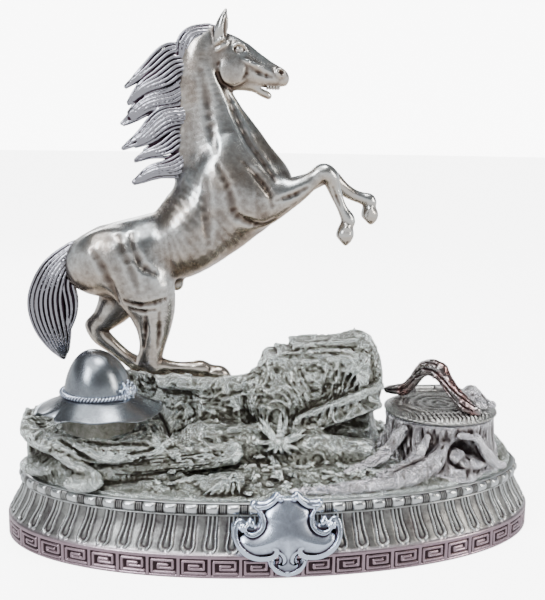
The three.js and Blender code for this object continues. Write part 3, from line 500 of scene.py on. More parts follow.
def sculpt_trunk(clay):
    """Torso and neck along their middle lines, then the masses of muscle on both sides."""
    torso = [(-105.5, 140.5, 8.5, 0.95), (-99.5, 142, 15.8, 0.98), (-89, 143.5, 20, 0.93),
             (-78, 147.5, 19.4, 0.95), (-66, 152, 18, 1.0), (-52.5, 154.5, 20.6, 0.94),
             (-36.5, 168, 24.4, 0.8), (-24, 180, 26.6, 0.68), (-9, 184, 20, 0.78), (1, 181.5, 10.5, 0.95)]
    clay.tube(in_plane(HORSE_Y, torso))
    neck = [(-22.5, 189.5, 26, 0.62), (-26, 200, 23.8, 0.56), (-32, 216, 18.6, 0.56),
            (-36.5, 231.5, 14.2, 0.62), (-39.5, 245, 12, 0.68), (-40, 256, 10.2, 0.7), (-36, 264, 7, 0.72)]
    clay.tube(in_plane(HORSE_Y, neck), blend=7)
    crest = [(-36, 262, 6, 0.7), (-41, 252, 8.4, 0.6), (-43, 238, 8.6, 0.55), (-42, 222, 10, 0.5),
             (-41, 206, 12, 0.45), (-43, 193, 9, 0.45)]
    clay.tube(in_plane(HORSE_Y, crest), blend=5)
    for side in (-1, 1):
        y = HORSE_Y + side * 8
        clay.blob((-22, y + side * 1.5, 182), (17, 10, 21), 5, tilt=-28)         # shoulder
        clay.blob((-9, y - side * 1, 176), (13, 9, 11), 4, tilt=-15)             # point of the shoulder
        clay.blob((-30, y + side * 1.5, 194), (9, 6.5, 18), 5, tilt=18)          # blade
        clay.blob((-88, y + side * 2, 146), (19, 10.5, 16), 5, tilt=20)          # croup
        clay.blob((-46, y + side * 2.2, 158), (17, 10.5, 15), 6, tilt=42)        # barrel
        clay.blob((0, HORSE_Y + side * 5.5, 184), (8, 6, 10), 3, tilt=-20)       # breast
    clay.blob((-53.5, HORSE_Y, 131.5), (4, 3.2, 4.5), 3)


NEAR_FORELEG = [(-12, 178, 13, 0.7), (-4, 178.5, 11.5, 0.72), (5, 181, 8.6, 0.8), (13, 184.6, 6.4, 0.85),
                (20, 189.3, 4.9, 0.9), (25.8, 193.2, 5.3, 0.95), (29.6, 191.5, 5.0, 0.95),
                (31.8, 186.4, 3.9, 0.9), (34.6, 179.4, 3.0, 0.9), (37.4, 173.6, 2.9, 0.92),
                (40.4, 168.2, 3.9, 0.95), (39.9, 164.6, 3.1, 0.95)]
FAR_FORELEG = [(-10, 178, 12, 0.7), (0, 179.5, 9.8, 0.75), (12, 182.7, 7.4, 0.82), (23, 187.8, 5.3, 0.9),
               (30.6, 191.4, 5.4, 0.95), (34.8, 189.4, 4.8, 0.95), (40.5, 184.4, 4.0, 0.9),
               (46.5, 180.6, 3.5, 0.9), (52, 178.6, 3.4, 0.92), (56.3, 177.0, 4.1, 0.95),
               (56.9, 173.4, 3.3, 0.95)]
NEAR_HIND_LEG = [(-79, 145, 15, 0.72), (-72, 133, 16.6, 0.72), (-67.5, 121, 13.4, 0.74),
                 (-66, 110, 9.8, 0.8), (-66.6, 100, 7.3, 0.84), (-67.6, 93.5, 6.6, 0.86),
                 (-66.6, 88.2, 5.8, 0.9), (-61, 86.2, 4.7, 0.9), (-53, 85.3, 3.7, 0.9),
                 (-46, 85.2, 3.8, 0.92), (-40.5, 85.0, 4.6, 0.95), (-36, 84.0, 3.8, 0.95)]
FAR_HIND_LEG = [(-80, 140, 15, 0.72), (-82, 128, 14.4, 0.72), (-87.5, 117.2, 10.6, 0.75),
                (-93.6, 109.6, 7.5, 0.82), (-98.4, 104.6, 6.2, 0.88), (-96.4, 99.2, 5.4, 0.9),
                (-89, 92.2, 4.4, 0.9), (-82.4, 86.6, 4.0, 0.92), (-77.4, 83.2, 4.6, 0.95),
                (-73.4, 81.4, 4.0, 0.95)]


def hoof(clay, coronet, toe, y, sole_normal):
    """A hoof that widens from the coronet down to its sole, with the coronet's small rim."""
    top, tip = np.array(coronet, float), np.array(toe, float)
    heel = top * 0.45 + tip * 0.55
    clay.tube([[top[0], y, top[1], 3.9, 0.95], [heel[0], y, heel[1], 4.9, 0.92],
               [tip[0], y, tip[1], 3.2, 1.15]], blend=1.2, steps=3)
    clay.tube([[top[0], y - 2.6, top[1], 2.2], [top[0], y + 2.6, top[1], 2.2]], blend=1, steps=1)
    normal = np.array([sole_normal[0], 0, sole_normal[1]], float)
    normal /= np.linalg.norm(normal)
    under = heel + np.array([normal[0], normal[2]]) * 4.1
    clay.block((under[0] + normal[0] * 4, y, under[1] + normal[2] * 4), (9, 7, 4), 0.2, 0.4, cut=True,
               tilt=math.degrees(math.atan2(normal[0], normal[2])))


def sculpt_legs(clay):
    """Limbs, hooves, hocks, knees and ergots."""
    for leg, y in ((NEAR_FORELEG, NEAR_Y), (FAR_FORELEG, FAR_Y), (NEAR_HIND_LEG, NEAR_Y),
                   (FAR_HIND_LEG, FAR_Y)):
        clay.tube(in_plane(y, leg), blend=5)
    hoof(clay, (39.4, 163.6), (38.6, 156.6), NEAR_Y, (-0.75, -0.66))
    hoof(clay, (56.6, 172), (57.6, 166.4), FAR_Y, (-0.7, -0.7))
    hoof(clay, (-33.6, 82.9), (-26.4, 80.4), NEAR_Y, (-0.05, -1))
    hoof(clay, (-70.8, 80.4), (-64.4, 77.8), FAR_Y, (-0.05, -1))
    for (x, z), (px, pz), y in (((-72.6, 91.2), (-73.5, 88), NEAR_Y),
                                ((-102.4, 105.8), (-101.6, 103.6), FAR_Y)):
        clay.tube([[x, y, z, 2.6], [px, y, pz, 2.2]], blend=2.5, steps=1)         # point of the hock
    for x, z, y in ((27.5, 194, NEAR_Y), (32.5, 192, FAR_Y)):
        for side in (-1, 1):
            clay.blob((x, y + side * 2.6, z - 1), (3.6, 2.2, 3.4), 1.6)            # knee bones
    for x, z, y in ((42.2, 166.6, NEAR_Y), (58.6, 175.8, FAR_Y), (-42, 81.2, NEAR_Y)):
        clay.blob((x, y, z), (1.8, 2.4, 1.8), 1.4)                                 # ergot


BOTH_SIDES, NEAR_ONLY = (-1, 1), (-1,)
# Grooves between the muscles: points (x, z), radius, lift, blend and sides.
GROOVES = [([(-31, 197), (-26.5, 187), (-24.5, 178), (-22, 171), (-15, 166.5), (-7, 165), (0, 168)], 2.2,
            1.6, 2.2, BOTH_SIDES),
           ([(-39, 190), (-38, 178), (-37, 166), (-36, 156)], 2.8, 2.4, 2.6, BOTH_SIDES),
           ([(-17, 199), (-9, 191), (-4, 184), (-2, 176)], 2.0, 1.5, 2.0, BOTH_SIDES),
           ([(-31, 246), (-25, 234), (-20, 222), (-14, 210), (-7, 200), (0, 190)], 2.0, 1.4, 2.0,
            BOTH_SIDES), ([(-40, 246), (-37, 232), (-35, 218), (-33, 205)], 2.8, 2.4, 2.6, BOTH_SIDES),
           ([(-77, 161), (-75, 152), (-71, 144), (-63, 139.5)], 2.4, 1.7, 2.2, BOTH_SIDES),
           ([(-98, 152), (-93, 143), (-89, 133), (-85, 124)], 2.4, 1.9, 2.4, BOTH_SIDES),
           ([(-84, 160), (-80, 151), (-77, 141), (-74, 130)], 2.6, 2.2, 2.4, BOTH_SIDES),
           ([(-81, 124.5), (-74, 122.5), (-66, 123.5), (-59, 125.5)], 1.4, 0.9, 1.3, NEAR_ONLY),
           ([(-79, 120.5), (-72, 119), (-65, 120)], 1.1, 0.8, 1.1, NEAR_ONLY),
           ([(-70, 117), (-70.5, 108), (-71.5, 99)], 1.4, 1.0, 1.5, NEAR_ONLY),
           ([(-62.5, 118), (-62.5, 108), (-63.5, 98)], 1.3, 1.0, 1.4, NEAR_ONLY),
           ([(-62, 85.2), (-54, 83.9), (-46, 83.9)], 1.0, 0.7, 0.9, NEAR_ONLY),
           ([(0, 179), (9, 181.5), (17, 185.6)], 1.3, 0.9, 1.4, NEAR_ONLY),
           ([(31.2, 186), (33.6, 179.6), (36.2, 174)], 0.9, 0.6, 0.9, NEAR_ONLY)]


def sculpt_muscles(clay):
    for points, radius, lift, blend, sides in GROOVES:
        clay.stroke(points, radius, lift, blend, True, sides)


def sculpt_head(clay):
    """Skull, open mouth with its teeth, cheeks, nostrils, eyes and ears."""
    skull = [(-35, 262.5, 6.4, 0.8), (-29, 257.5, 9.6, 0.72), (-23, 252.5, 12, 0.64),
             (-12, 247.7, 9.6, 0.64), (-4, 245.3, 7.2, 0.7), (2, 243.8, 5.6, 0.85),
             (4.4, 243.2, 3.6, 0.95)]
    clay.tube(in_plane(HORSE_Y, skull), blend=3)
    jaw = [(-24, 243, 6.4, 0.75), (-16, 240.4, 3.9, 0.9), (-10.5, 238.3, 2.7, 1.15),
           (-6.4, 235.9, 2.5, 1.3), (-3.4, 234.2, 2.1, 1.35)]
    clay.tube(in_plane(HORSE_Y, jaw), blend=1.6)
    mouth = [(6, 238.6, 0.9, 4), (0, 237.9, 1.0, 4), (-5, 237.9, 0.8, 4), (-9.5, 239.4, 0.5, 4)]
    clay.tube(in_plane(HORSE_Y, mouth), blend=0.4, cut=True)
    for k in range(5):
        x = 2.2 - 1.5 * k
        for side in (-1, 1):
            clay.block((x, HORSE_Y + side * 2.7, 238.3), (0.6, 0.9, 1.1), 0.3)     # upper teeth
    for side in (-1, 1):
        y = HORSE_Y + side
        cheek = HORSE_Y + side * 5.2
        clay.blob((-23.6, cheek, 246.8), (8.3, 3.4, 8.0), 1.6)
        clay.stroke([(-30.5, 251), (-31.4, 246), (-29, 240.5), (-24, 238.2)], 1.1, 0.5, 0.8, cut=True,
                    sides=(side,))
        clay.stroke([(-18, 241.4), (-15.6, 245), (-15.8, 249)], 1.1, 0.75, 1.0, cut=True, sides=(side,))
        clay.stroke([(-18.5, 252.6), (-13, 250.4), (-7.5, 248.6)], 1.2, 0.1, 1.0, sides=(side,))
        clay.stroke([(-12.5, 247), (-7, 245.2), (-2, 243.6)], 1.4, 1.0, 1.2, cut=True, sides=(side,))
        clay.blob((2.6, HORSE_Y + side * 4.3, 246.2), (3.2, 1.9, 2.7), 0.9, tilt=35)
        clay.blob((3.2, HORSE_Y + side * 5.6, 246.3), (1.9, 1.7, 1.2), 0.5, cut=True, tilt=40)
        eye = clay.surface_y(-19.6, 257.9, side)
        if eye is not None:
            clay.blob((-19.6, eye + side * 0.4, 257.9), (3.6, 1.7, 2.7), 0.6, cut=True, tilt=25)
            clay.blob((-19.6, eye - side * 0.9, 257.8), (2.3, 1.8, 2.1), 0.1)
            clay.tube([[-23.6, eye - side * 0.3, 258.4, 0.9], [-21, eye + side * 0.5, 260.6, 1.1],
                       [-17.6, eye + side * 0.3, 260.2, 1.0], [-15.6, eye - side * 0.6, 257.6, 0.7]], 0.5)
            clay.tube([[-22.8, eye - side * 0.4, 256.9, 0.6], [-20, eye + side * 0.2, 255.6, 0.7],
                       [-16.6, eye - side * 0.2, 256.2, 0.6]], 0.5)
        root = HORSE_Y + side * 4.4
        clay.tube([[-30, root, 262.5, 3.8], [-29.4, root + side * 1.2, 268, 3.7],
                   [-28, root + side * 1.9, 273.6, 2.5], [-26.8, root + side * 2.0, 278.6, 0.5]],
                  blend=1.2)
        clay.tube([[-26.9, root + side * 2.0, 264.8, 1.7], [-26.2, root + side * 3.6, 269, 2.2],
                   [-25.8, root + side * 3.6, 273.4, 1.5], [-26.1, root + side * 2.8, 277, 0.5]], 0.5,
                  cut=True)
    clay.stroke([(-33.5, 256), (-28, 259.5), (-24.5, 262.5)], 1.0, 0.3, 0.6)
    clay.stroke([(-34.5, 258.8), (-30, 262), (-26.5, 264)], 1.0, 0.3, 0.6)


def make_horse():
    """The rearing horse in one casting."""
    clay = Clay((-113, -7, 73), (66, 47, 283), CASTING_CELL)
    sculpt_trunk(clay)
    sculpt_legs(clay)
    sculpt_muscles(clay)
    sculpt_head(clay)
    clay.ripple(0.12, 5, 11)
    horse = clay.to_object("horse_casting", HORSE_METAL, 0.8)
    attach(horse, "stand")
    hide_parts("horse_body", "near_foreleg", "far_foreleg", "near_hind_leg", "far_hind_leg")


# ---------- mane and tail ----------
def sculpt_lock(clay, line, strands, flat, wave, phase, shift, rng):
    """A solid lock along (x, z, radius), its surface combed into parallel wavy strands."""
    path = smooth_path(line, 5)
    count = len(path)
    clay.tube([[x, HORSE_Y + shift, z, 0.82 * radius, flat] for x, z, radius in path], 0.5, steps=1)
    along = np.gradient(path[:, :2], axis=0)
    along /= np.linalg.norm(along, axis=1)[:, None] + 1e-9
    widest = path[:, 2].max()
    for side in (-1, 1):
        for strand in range(strands):
            share = (2 * strand + 1) / strands - 1
            last = count - int(rng.integers(0, 4))
            run = []
            for k in range(last):
                x, z, radius = path[k]
                swing = math.sin(phase + 0.5 * share + 8.5 * k / count)
                sway = wave * swing * min(1, k / 4) * radius / widest
                offset = share * radius + sway
                depth = side * flat * radius * math.sqrt(max(0.04, 1 - share * share))
                run.append([x - along[k, 1] * offset, HORSE_Y + shift + depth, z + along[k, 0] * offset,
                            0.95 * (0.45 + 0.55 * radius / widest)])
            clay.tube(run, 0.1, steps=1)


# Locks flung back from the crest, and the tail, as (x, z, radius) in the horse's middle plane.
LOCKS = [([(-30, 265, 3), (-36, 267, 5.4), (-43, 263.5, 6.2), (-48, 256, 5.4), (-51, 248, 2.4)], 6),
         ([(-44, 258, 3.4), (-54, 255, 5.6), (-66, 249, 5), (-80, 237.4, 1.1)], 5),
         ([(-44, 248, 5), (-55, 246, 7), (-67, 239, 5.6), (-78.4, 228.6, 1.2)], 6),
         ([(-45, 237, 5.6), (-57, 233, 7.6), (-70, 226.5, 5.4), (-82.2, 218.4, 1.4)], 7),
         ([(-44, 225, 5.6), (-56, 221, 7.4), (-69, 213, 5), (-81.6, 205.2, 1.6)], 7),
         ([(-44, 212, 5.6), (-54, 209, 7), (-65, 204.5, 4.8), (-75.2, 198.4, 1.4)], 6),
         ([(-44, 200, 5), (-54, 196.5, 6.2), (-65, 192, 4.6), (-76.6, 186.8, 1.1)], 6)]
TAIL = [(-101, 150, 4), (-106.5, 151, 5.2), (-112, 147.5, 6.4), (-118.6, 139, 9), (-122, 128, 10.6),
        (-122.6, 118, 10.8), (-121.6, 107.5, 9.4), (-119.6, 99, 7), (-117.4, 93, 4.2), (-116.2, 89.4, 1.6)]
TAIL_CURL = [(-112, 141, 4), (-113, 132, 5), (-112, 124, 5), (-112.5, 115, 4), (-114.5, 106, 3),
             (-114, 100, 1)]


def place_hair(clay, name, node):
    hair = clay.to_object(name, HAIR_METAL, 4.5)
    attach(hair, "stand")
    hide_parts(node)


def make_hair():
    """Mane and tail, with their locks in one order of random lengths."""
    rng = np.random.default_rng(5)
    mane = Clay((-86, 5, 178), (-22, 35, 275), HAIR_CELL)
    crest = [(-36, 264, 4.6), (-44, 257, 6), (-48, 247, 6.4), (-50, 236, 6.6), (-50, 221, 6.6),
             (-50, 206, 6.4), (-50, 196, 5.4), (-52, 188, 2.2)]
    mane.tube(in_plane(HORSE_Y, crest, 0.45), 1)
    for index, (line, strands) in enumerate(LOCKS):
        sculpt_lock(mane, line, strands, 0.66, 1.5, 1.9 * index, 1.6 * (index % 2) - 0.8, rng)
    place_hair(mane, "mane_hair", "horse_mane")

    tail = Clay((-135, 5, 84), (-96, 35, 158), HAIR_CELL)
    sculpt_lock(tail, TAIL, 9, 0.8, 1.5, 0.6, 0, rng)
    sculpt_lock(tail, TAIL_CURL, 4, 0.8, 0.8, 2.2, -1, rng)
    place_hair(tail, "tail_hair", "horse_tail")


# ---------- the oval and what stands on it ----------
FOOT_WIDE, FOOT_DEEP, PLINTH_TOP = np.array(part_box("plinth")[1]) / MM
OVAL_POWER = 2.1
SEAT_INSET = 10.8
STUMP_X, STUMP_Y, STUMP_RADIUS = 91.5, -10.0, 30.2
STUMP_TOP = 64.0
LID_BOTTOM, LID_TOP = 64.4, 68.8
HAT_X, HAT_Y = -94.5, -15.0
HAT_BRIM = (33.5, 27.0)
STUMP_BORE, HAT_BORE = 18.3, 15.1    # radii of the holes that the ink pots hang in
HINGE_Y, HINGE_Z = 23.5, 66.6


def oval_share(x, y, inset):
    """How far out a spot is: 0 in the middle, 1 on the oval that lies inset mm inside the foot."""
    across = (np.abs(x) / (FOOT_WIDE - inset)) ** OVAL_POWER
    return (across + (np.abs(y) / (FOOT_DEEP - inset)) ** OVAL_POWER) ** (1 / OVAL_POWER)


def oval_depth(x, inset):
    """Half the oval's depth at x."""
    share = np.minimum(np.abs(x) / (FOOT_WIDE - inset), 1)
    return (FOOT_DEEP - inset) * (1 - share ** OVAL_POWER) ** (1 / OVAL_POWER)


def ramp(t):
    """A soft step from 0 to 1."""
    t = np.clip(t, 0, 1)
    return t * t * (3 - 2 * t)


def hill(x, y, at_x, at_y, wide_x, wide_y, high):
    return high * np.exp(-((x - at_x) / wide_x) ** 2 - ((y - at_y) / wide_y) ** 2)


def hat_share(x, y):
    """1 on the edge of the hat's brim, less inside it."""
    return np.hypot((x - HAT_X) / HAT_BRIM[0], (y - HAT_Y) / HAT_BRIM[1])


def shaft(at_x, at_y, radius, floor=-1e3, ceiling=1e3):
    """An upright cylinder between floor and ceiling, as a form."""
    def distance(x, y, z):
        wall = np.hypot(x - at_x, y - at_y) - radius
        return np.maximum(np.maximum(wall, floor - z), z - ceiling)
    return distance


def hinge_bar(radius, half):
    """A bar along the lid's hinge line, as a form."""
    def distance(x, y, z):
        return np.maximum(np.hypot(y - HINGE_Y, z - HINGE_Z) - radius, np.abs(x - STUMP_X) - half)
    return distance


# ---------- ground ----------
TURF_METAL = patina("turf_patina", (0.7, 0.745, 0.73), (0.33, 0.345, 0.305), (0.055, 0.05, 0.04),
                    rough=(0.14, 0.4), grain_mm=0.8, bump=0.9, patch_mm=11, lean=0.06, strokes=0.9)
BARK_METAL = patina("bark_patina", (0.72, 0.71, 0.745), (0.34, 0.32, 0.322), (0.055, 0.042, 0.042),
                    rough=(0.15, 0.42), grain_mm=0.8, bump=0.9, patch_mm=12, lean=0.04, strokes=0.9)


def ground_height(x, y):
    """Height of the ground: rim, rock plateau, slope in front of it, hat ledge, rocks and meadow."""
    base = PLINTH_TOP + 0.9 + 3 * ramp((1 - oval_share(x, y, 10.5)) / 0.16)
    top = 81.6 - 0.15 * (y - 9) - 4 * ramp((x + 58) / 36) - base
    plateau = (top * ramp((x + 112) / 16) * ramp((66 - x) / 12) * ramp((y + 7) / 7) * ramp((54 - y) / 17)
               * ramp((hat_share(x, y) - 1.06) / 0.24)
               * ramp((np.hypot(x - STUMP_X, y - STUMP_Y) - STUMP_RADIUS - 4) / 9))
    slope = (14 * ramp((x + 66) / 12) * ramp((46 - x) / 34) * ramp((y + 28) / 22)
             * ramp((hat_share(x, y) - 1.02) / 0.2))
    ledge = ((60 - base) * ramp((x + 137) / 7) * ramp((-52 - x) / 12) * ramp((y + 41) / 6)
             * ramp((34 - y) / 12))
    knob = hill(x, y, -129, 0, 6, 9, 7)
    rocks = hill(x, y, 127, 4, 7, 12, 9) + hill(x, y, 116, 30, 12, 8, 8)
    bumps = layered_noise(np.stack([x, y, 0 * x], -1), 17, 61, 3)
    meadow = 1.6 * bumps * ramp((1 - oval_share(x, y, 12)) / 0.1)
    return base + np.maximum(np.maximum(plateau, ledge + knob), slope) + rocks + meadow


def ground_field(x, y, z):
    """Signed distance to the height field, corrected for its slope, inside the oval's upright edge."""
    cell = float(x[1, 0, 0] - x[0, 0, 0])
    flat_x, flat_y = np.broadcast_arrays(x[:, :, 0], y[:, :, 0])
    height = ground_height(flat_x, flat_y)
    grad_x, grad_y = np.gradient(height, cell)
    slant = np.sqrt(1 + grad_x ** 2 + grad_y ** 2)
    above = (z - height[:, :, None]) / slant[:, :, None]
    share = oval_share(flat_x, flat_y, SEAT_INSET)
    outside = (share - 1) * np.where(share > 0, np.hypot(flat_x, flat_y) / np.maximum(share, 0.01), 1)
    return np.maximum(above, outside[:, :, None])


def sculpt_rocks(clay):
    """The outcrop under the horse: boulders, slabs and planks, split rock and the turfed bank."""
    clay.block((24, 8, 68), (29, 15, 27), 4, 6)
    clay.block((5, 10, 84), (12, 11, 7), 4, 5, tilt=-22)
    clay.blob((1, -1, 73), (19, 10.5, 19), 3)
    clay.block((23, 8, 93.6), (19.5, 10.5, 3.6), 0.8, 0.6, tilt=-1)
    clay.block((11, 7, 94.8), (9.6, 10.6, 2.4), 0.6, 0.4)
    clay.block((30, 12, 98), (20, 11, 2.8), 1.2, 1.5, tilt=-3)
    clay.block((46, 12, 99.5), (5.5, 9, 4), 0.8, 1.2, tilt=-22, turn=8)
    planks = ((27, 14, 87.4, 1.5, 6), (28.5, 10.5, 83.6, 1.2, 5.6), (25, 12, 80, 1.5, 5.2))
    for k, (x, half, z, thick, y) in enumerate(planks):
        clay.block((x, y + 2, z), (half, 11, thick), 0.5, 0.5, tilt=-1.5 + k, turn=2 * k)
    clay.block((27, 4, 74), (12.2, 9.6, 5), 0.6, 0.6)
    clay.tube([[50, 8, 98, 7], [53, 8, 90, 7.5], [54, 6, 80, 8], [52, 2, 72, 8]], 2.5)
    for k in range(6):
        x = 43 + 2.6 * k
        clay.tube([[x, -3 - 0.4 * k, 95 - 3 * k, 0.7], [x - 1.5, -5.5, 86 - 2.5 * k, 1.0],
                   [x - 5, -8, 76 - 2 * k, 0.6]], 0.4, cut=True)
    clay.block((36, -5.5, 70), (27, 6, 1.5), 0.4, 0.5, tilt=-20.7)
    clay.block((35, -3, 63), (24, 8, 5.5), 1.5, 2, tilt=-20.7)
    for k in range(9):
        x = 14 + 4.4 * k
        top = 61 + (x - 13) * 0.36
        clay.tube([[x + 1.5, -10.5, top, 0.55], [x, -12, top - 5, 0.8], [x - 3.5, -15.5, top - 12, 0.7]],
                  0.4, cut=True)
    for k in range(7):
        x = 27 + 1.9 * k
        clay.tube([[x, -6.4, 78.5, 0.4], [x - 0.7, -6.8, 74, 0.6], [x - 2, -6.4, 70.5, 0.4]], 0.3, cut=True)
    # the upright split left of the smooth boulder, and the barky wedge beside it
    clay.tube([[-18, -8, 80, 1.4], [-18.6, -10, 68, 1.3], [-18.2, -11.5, 56, 0.8]], 0.5, cut=True)
    clay.block((-30, 3, 68), (12, 9, 12), 3, 4)
    for k in range(9):
        x = -20.5 - 2.7 * k
        clay.tube([[-20.5 - 0.9 * k, -6, 79.5, 0.5], [x, -7, 69, 0.95], [x - 1.6, -8.5, 58, 0.7]], 0.4,
                  cut=True)
    # turfed bank at the foot of the rocks
    clay.tube([[-44, -10, 52, 7], [-20, -13, 51, 8], [4, -14, 50, 8], [30, -18, 47, 7], [48, -20, 46, 6]],
              6)
    clay.tube([[-66, 0, 80, 3.5], [-52, -3, 80.5, 4], [-38, -3, 79, 3.8], [-24, -3, 80, 3.5],
               [-8, -4, 82, 3]], 2.5)
    clay.ripple(0.8, 8, 71, 3, rocky)
    clay.ripple(0.22, 3.6, 81, 2, rocky, stretch=(3, 3, 0.7))
    clay.chase(0.55, 1.9, 9, 91, rocky)
    clay.chase(0.34, 1.7, 6, 97)


def rocky(spots):
    """Where the surface is rock rather than meadow: well above the rim."""
    return ramp((spots[:, 2] - 46) / 12)


def sculpt_left_ledge(clay):
    """Bark and roots that hold up the hat's well, with the deep slanting cleft at the front."""
    clay.tube([[-134, 4, 60, 4.5], [-131, -14, 59, 4.5], [-122, -29, 57, 4.5], [-106, -37, 55, 4.5],
               [-88, -40, 53, 4.5], [-70, -36, 52, 4.5], [-58, -27, 53, 4]], 2)
    clay.tube([[-131, -16, 49, 2.6], [-122, -33, 47, 2.6], [-104, -43, 45, 2.2]], 1.2, cut=True)
    clay.tube([[-127, -20, 58, 2], [-116, -34, 55, 2.8], [-104, -41, 49, 3.4], [-95, -45, 44, 3]], 1.2)
    clay.tube([[-112, -37, 61, 1.4], [-100, -43, 54, 1.8], [-90, -46, 48, 1.8], [-84, -47, 42, 1.5]], 0.8,
              cut=True)
    for k in range(6):
        z = 59.5 - 2.6 * k
        clay.tube([[-92, -42.5, z, 0.5], [-80, -41.6, z - 0.8, 1.0], [-68, -38.4, z + 0.3, 1.0],
                   [-57, -31, z + 1.4, 0.5]], 0.4, cut=True)
    for k in range(8):
        x = -130 + 5 * k
        y = -oval_depth(x, 24)
        clay.tube([[x, y - 2, 56, 0.6], [x + 1, y - 4, 50, 1.0], [x + 3, y - 6, 44, 0.8]], 0.5, cut=True)
    clay.blob((-121, -23, 43), (14, 10, 6), 3)
    clay.blob((-100, -46, 41), (10, 6, 4.5), 2.5)


def sculpt_log(clay):
    """The fallen log with its hollow end, a stub and furrowed bark."""
    log = [(-92, -36, 42, 5), (-78, -35, 44.5, 6.4), (-60, -33, 46, 6.7), (-42, -30.5, 47.5, 6.6),
           (-25, -28, 48.5, 6.2)]
    clay.tube([list(s) for s in log], 0.8)
    clay.blob((-23.5, -27.6, 48.7), (2.6, 4.6, 4.6), 0.5, cut=True)
    clay.blob((-55, -36, 51), (3.4, 3, 2.6), 1.5)
    for k in range(7):
        lift = -3.4 + 1.5 * k
        clay.tube([[-86, -41.5 + abs(lift) * 0.35, 44 + lift * 0.8, 0.35],
                   [-70, -41.2 + abs(lift) * 0.4, 45.5 + lift, 0.75],
                   [-52, -38.6 + abs(lift) * 0.4, 46.5 + lift, 0.65],
                   [-30, -35.2 + abs(lift) * 0.4, 48 + lift, 0.4]], 0.3, cut=True)


def sculpt_leaves(clay):
    """A rosette of long curled leaves, and a lump of clasped leaves at the rim."""
    heart = np.array([0.5, -21.5, 51.5])
    leaves = ((8, 15), (32, 17), (62, 15), (92, 16), (120, 17), (146, 16), (172, 14), (-12, 13), (205, 9),
              (-36, 10), (240, 7), (-64, 7))
    for k, (angle, length) in enumerate(leaves):
        way = np.array([math.cos(math.radians(angle)), 0.0, math.sin(math.radians(angle))])
        bend = np.array([way[2], 0, -way[0]]) * (0.16 if k % 2 else -0.16) * length
        points = []
        for t, width in ((0.06, 0.7), (0.35, 1.25), (0.7, 1.15), (1.0, 0.35)):
            spot = heart + way * length * t + bend * t * t
            spot[1] += 4.6 * t * max(way[2], 0) - 1.6 * math.sin(math.pi * t)
            points.append([*spot, width])
        clay.tube(points, 0.3)
    clay.blob((0.5, -22, 51.5), (2.2, 1.8, 2.2), 0.5)
    clay.blob((-31, -51, 40), (11.5, 7, 6.4), 1.2, tilt=-8)
    for k in range(6):
        spread = -1.0 + 0.42 * k
        clay.tube([[-25, -52.5, 46.2, 0.5], [-29 + 4 * spread, -57.4, 43.4, 0.85],
                   [-33 + 8.5 * spread, -58.6, 37.6, 0.7]], 0.3, cut=True)
        clay.tube([[-24.2, -52, 46.8, 0.6], [-28 + 4 * spread, -57.0, 43.9, 0.9],
                   [-32 + 8.5 * spread, -58, 38, 0.5]], 0.3)


TUFTS = 150
BLADES = 5


def grow_tufts(clay):
    """Fans of short blades scattered over the meadow, leaning outwards and down the slope."""
    rng = np.random.default_rng(23)
    made = 0
    while made < TUFTS:
        x, y = rng.uniform(-128, 128), rng.uniform(-60, 60)
        clear_of_wells = math.hypot(x - STUMP_X, y - STUMP_Y) > 36 and hat_share(x, y) > 1.05
        height = float(ground_height(np.array([[x]]), np.array([[y]]))[0, 0])
        if oval_share(x, y, SEAT_INSET) > 0.93 or not clear_of_wells or height > 47:
            continue
        made += 1
        for blade in range(BLADES):
            angle = rng.uniform(0, 2 * math.pi) if blade == 0 else angle + rng.uniform(0.25, 0.6)
            reach = rng.uniform(2.5, 5)
            way_x, way_y = math.cos(angle), math.sin(angle)
            clay.tube([[x, y, height + 0.2, 0.75],
                       [x + way_x * reach * 0.5, y + way_y * reach * 0.5, height + 1.0, 0.75],
                       [x + way_x * reach, y + way_y * reach, height + 0.1, 0.35]], 0.25, steps=2)


def make_ground():
    """Meadow, rocks, log and leaves in one thin casting."""
    clay = Clay((-136, -65, 32), (136, 65, 106), CASTING_CELL)
    clay.form_everywhere(ground_field)
    sculpt_left_ledge(clay)
    sculpt_log(clay)
    sculpt_rocks(clay)
    sculpt_leaves(clay)
    grow_tufts(clay)
    hollow_ground(clay)
    ground = clay.to_object("ground_casting", TURF_METAL, 1.0)
    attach(ground, "stand")
    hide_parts("ground", "rock_outcrop", "fallen_log")


GROUND_WALL = 3.2     # thickness of the casting
GROUND_SEAT = 33.3    # its lowest level, in the plinth's rebate


def under_hat(x, y, z):
    """The room that the hat's brim needs."""
    share = hat_share(x, y)
    crown = np.maximum(share - 0.6, 0) / 0.4
    brim_under = 76 - 9.2 * np.minimum(crown, 1.2) ** 0.85
    return np.maximum((share - 1.09) * 27, brim_under - z)


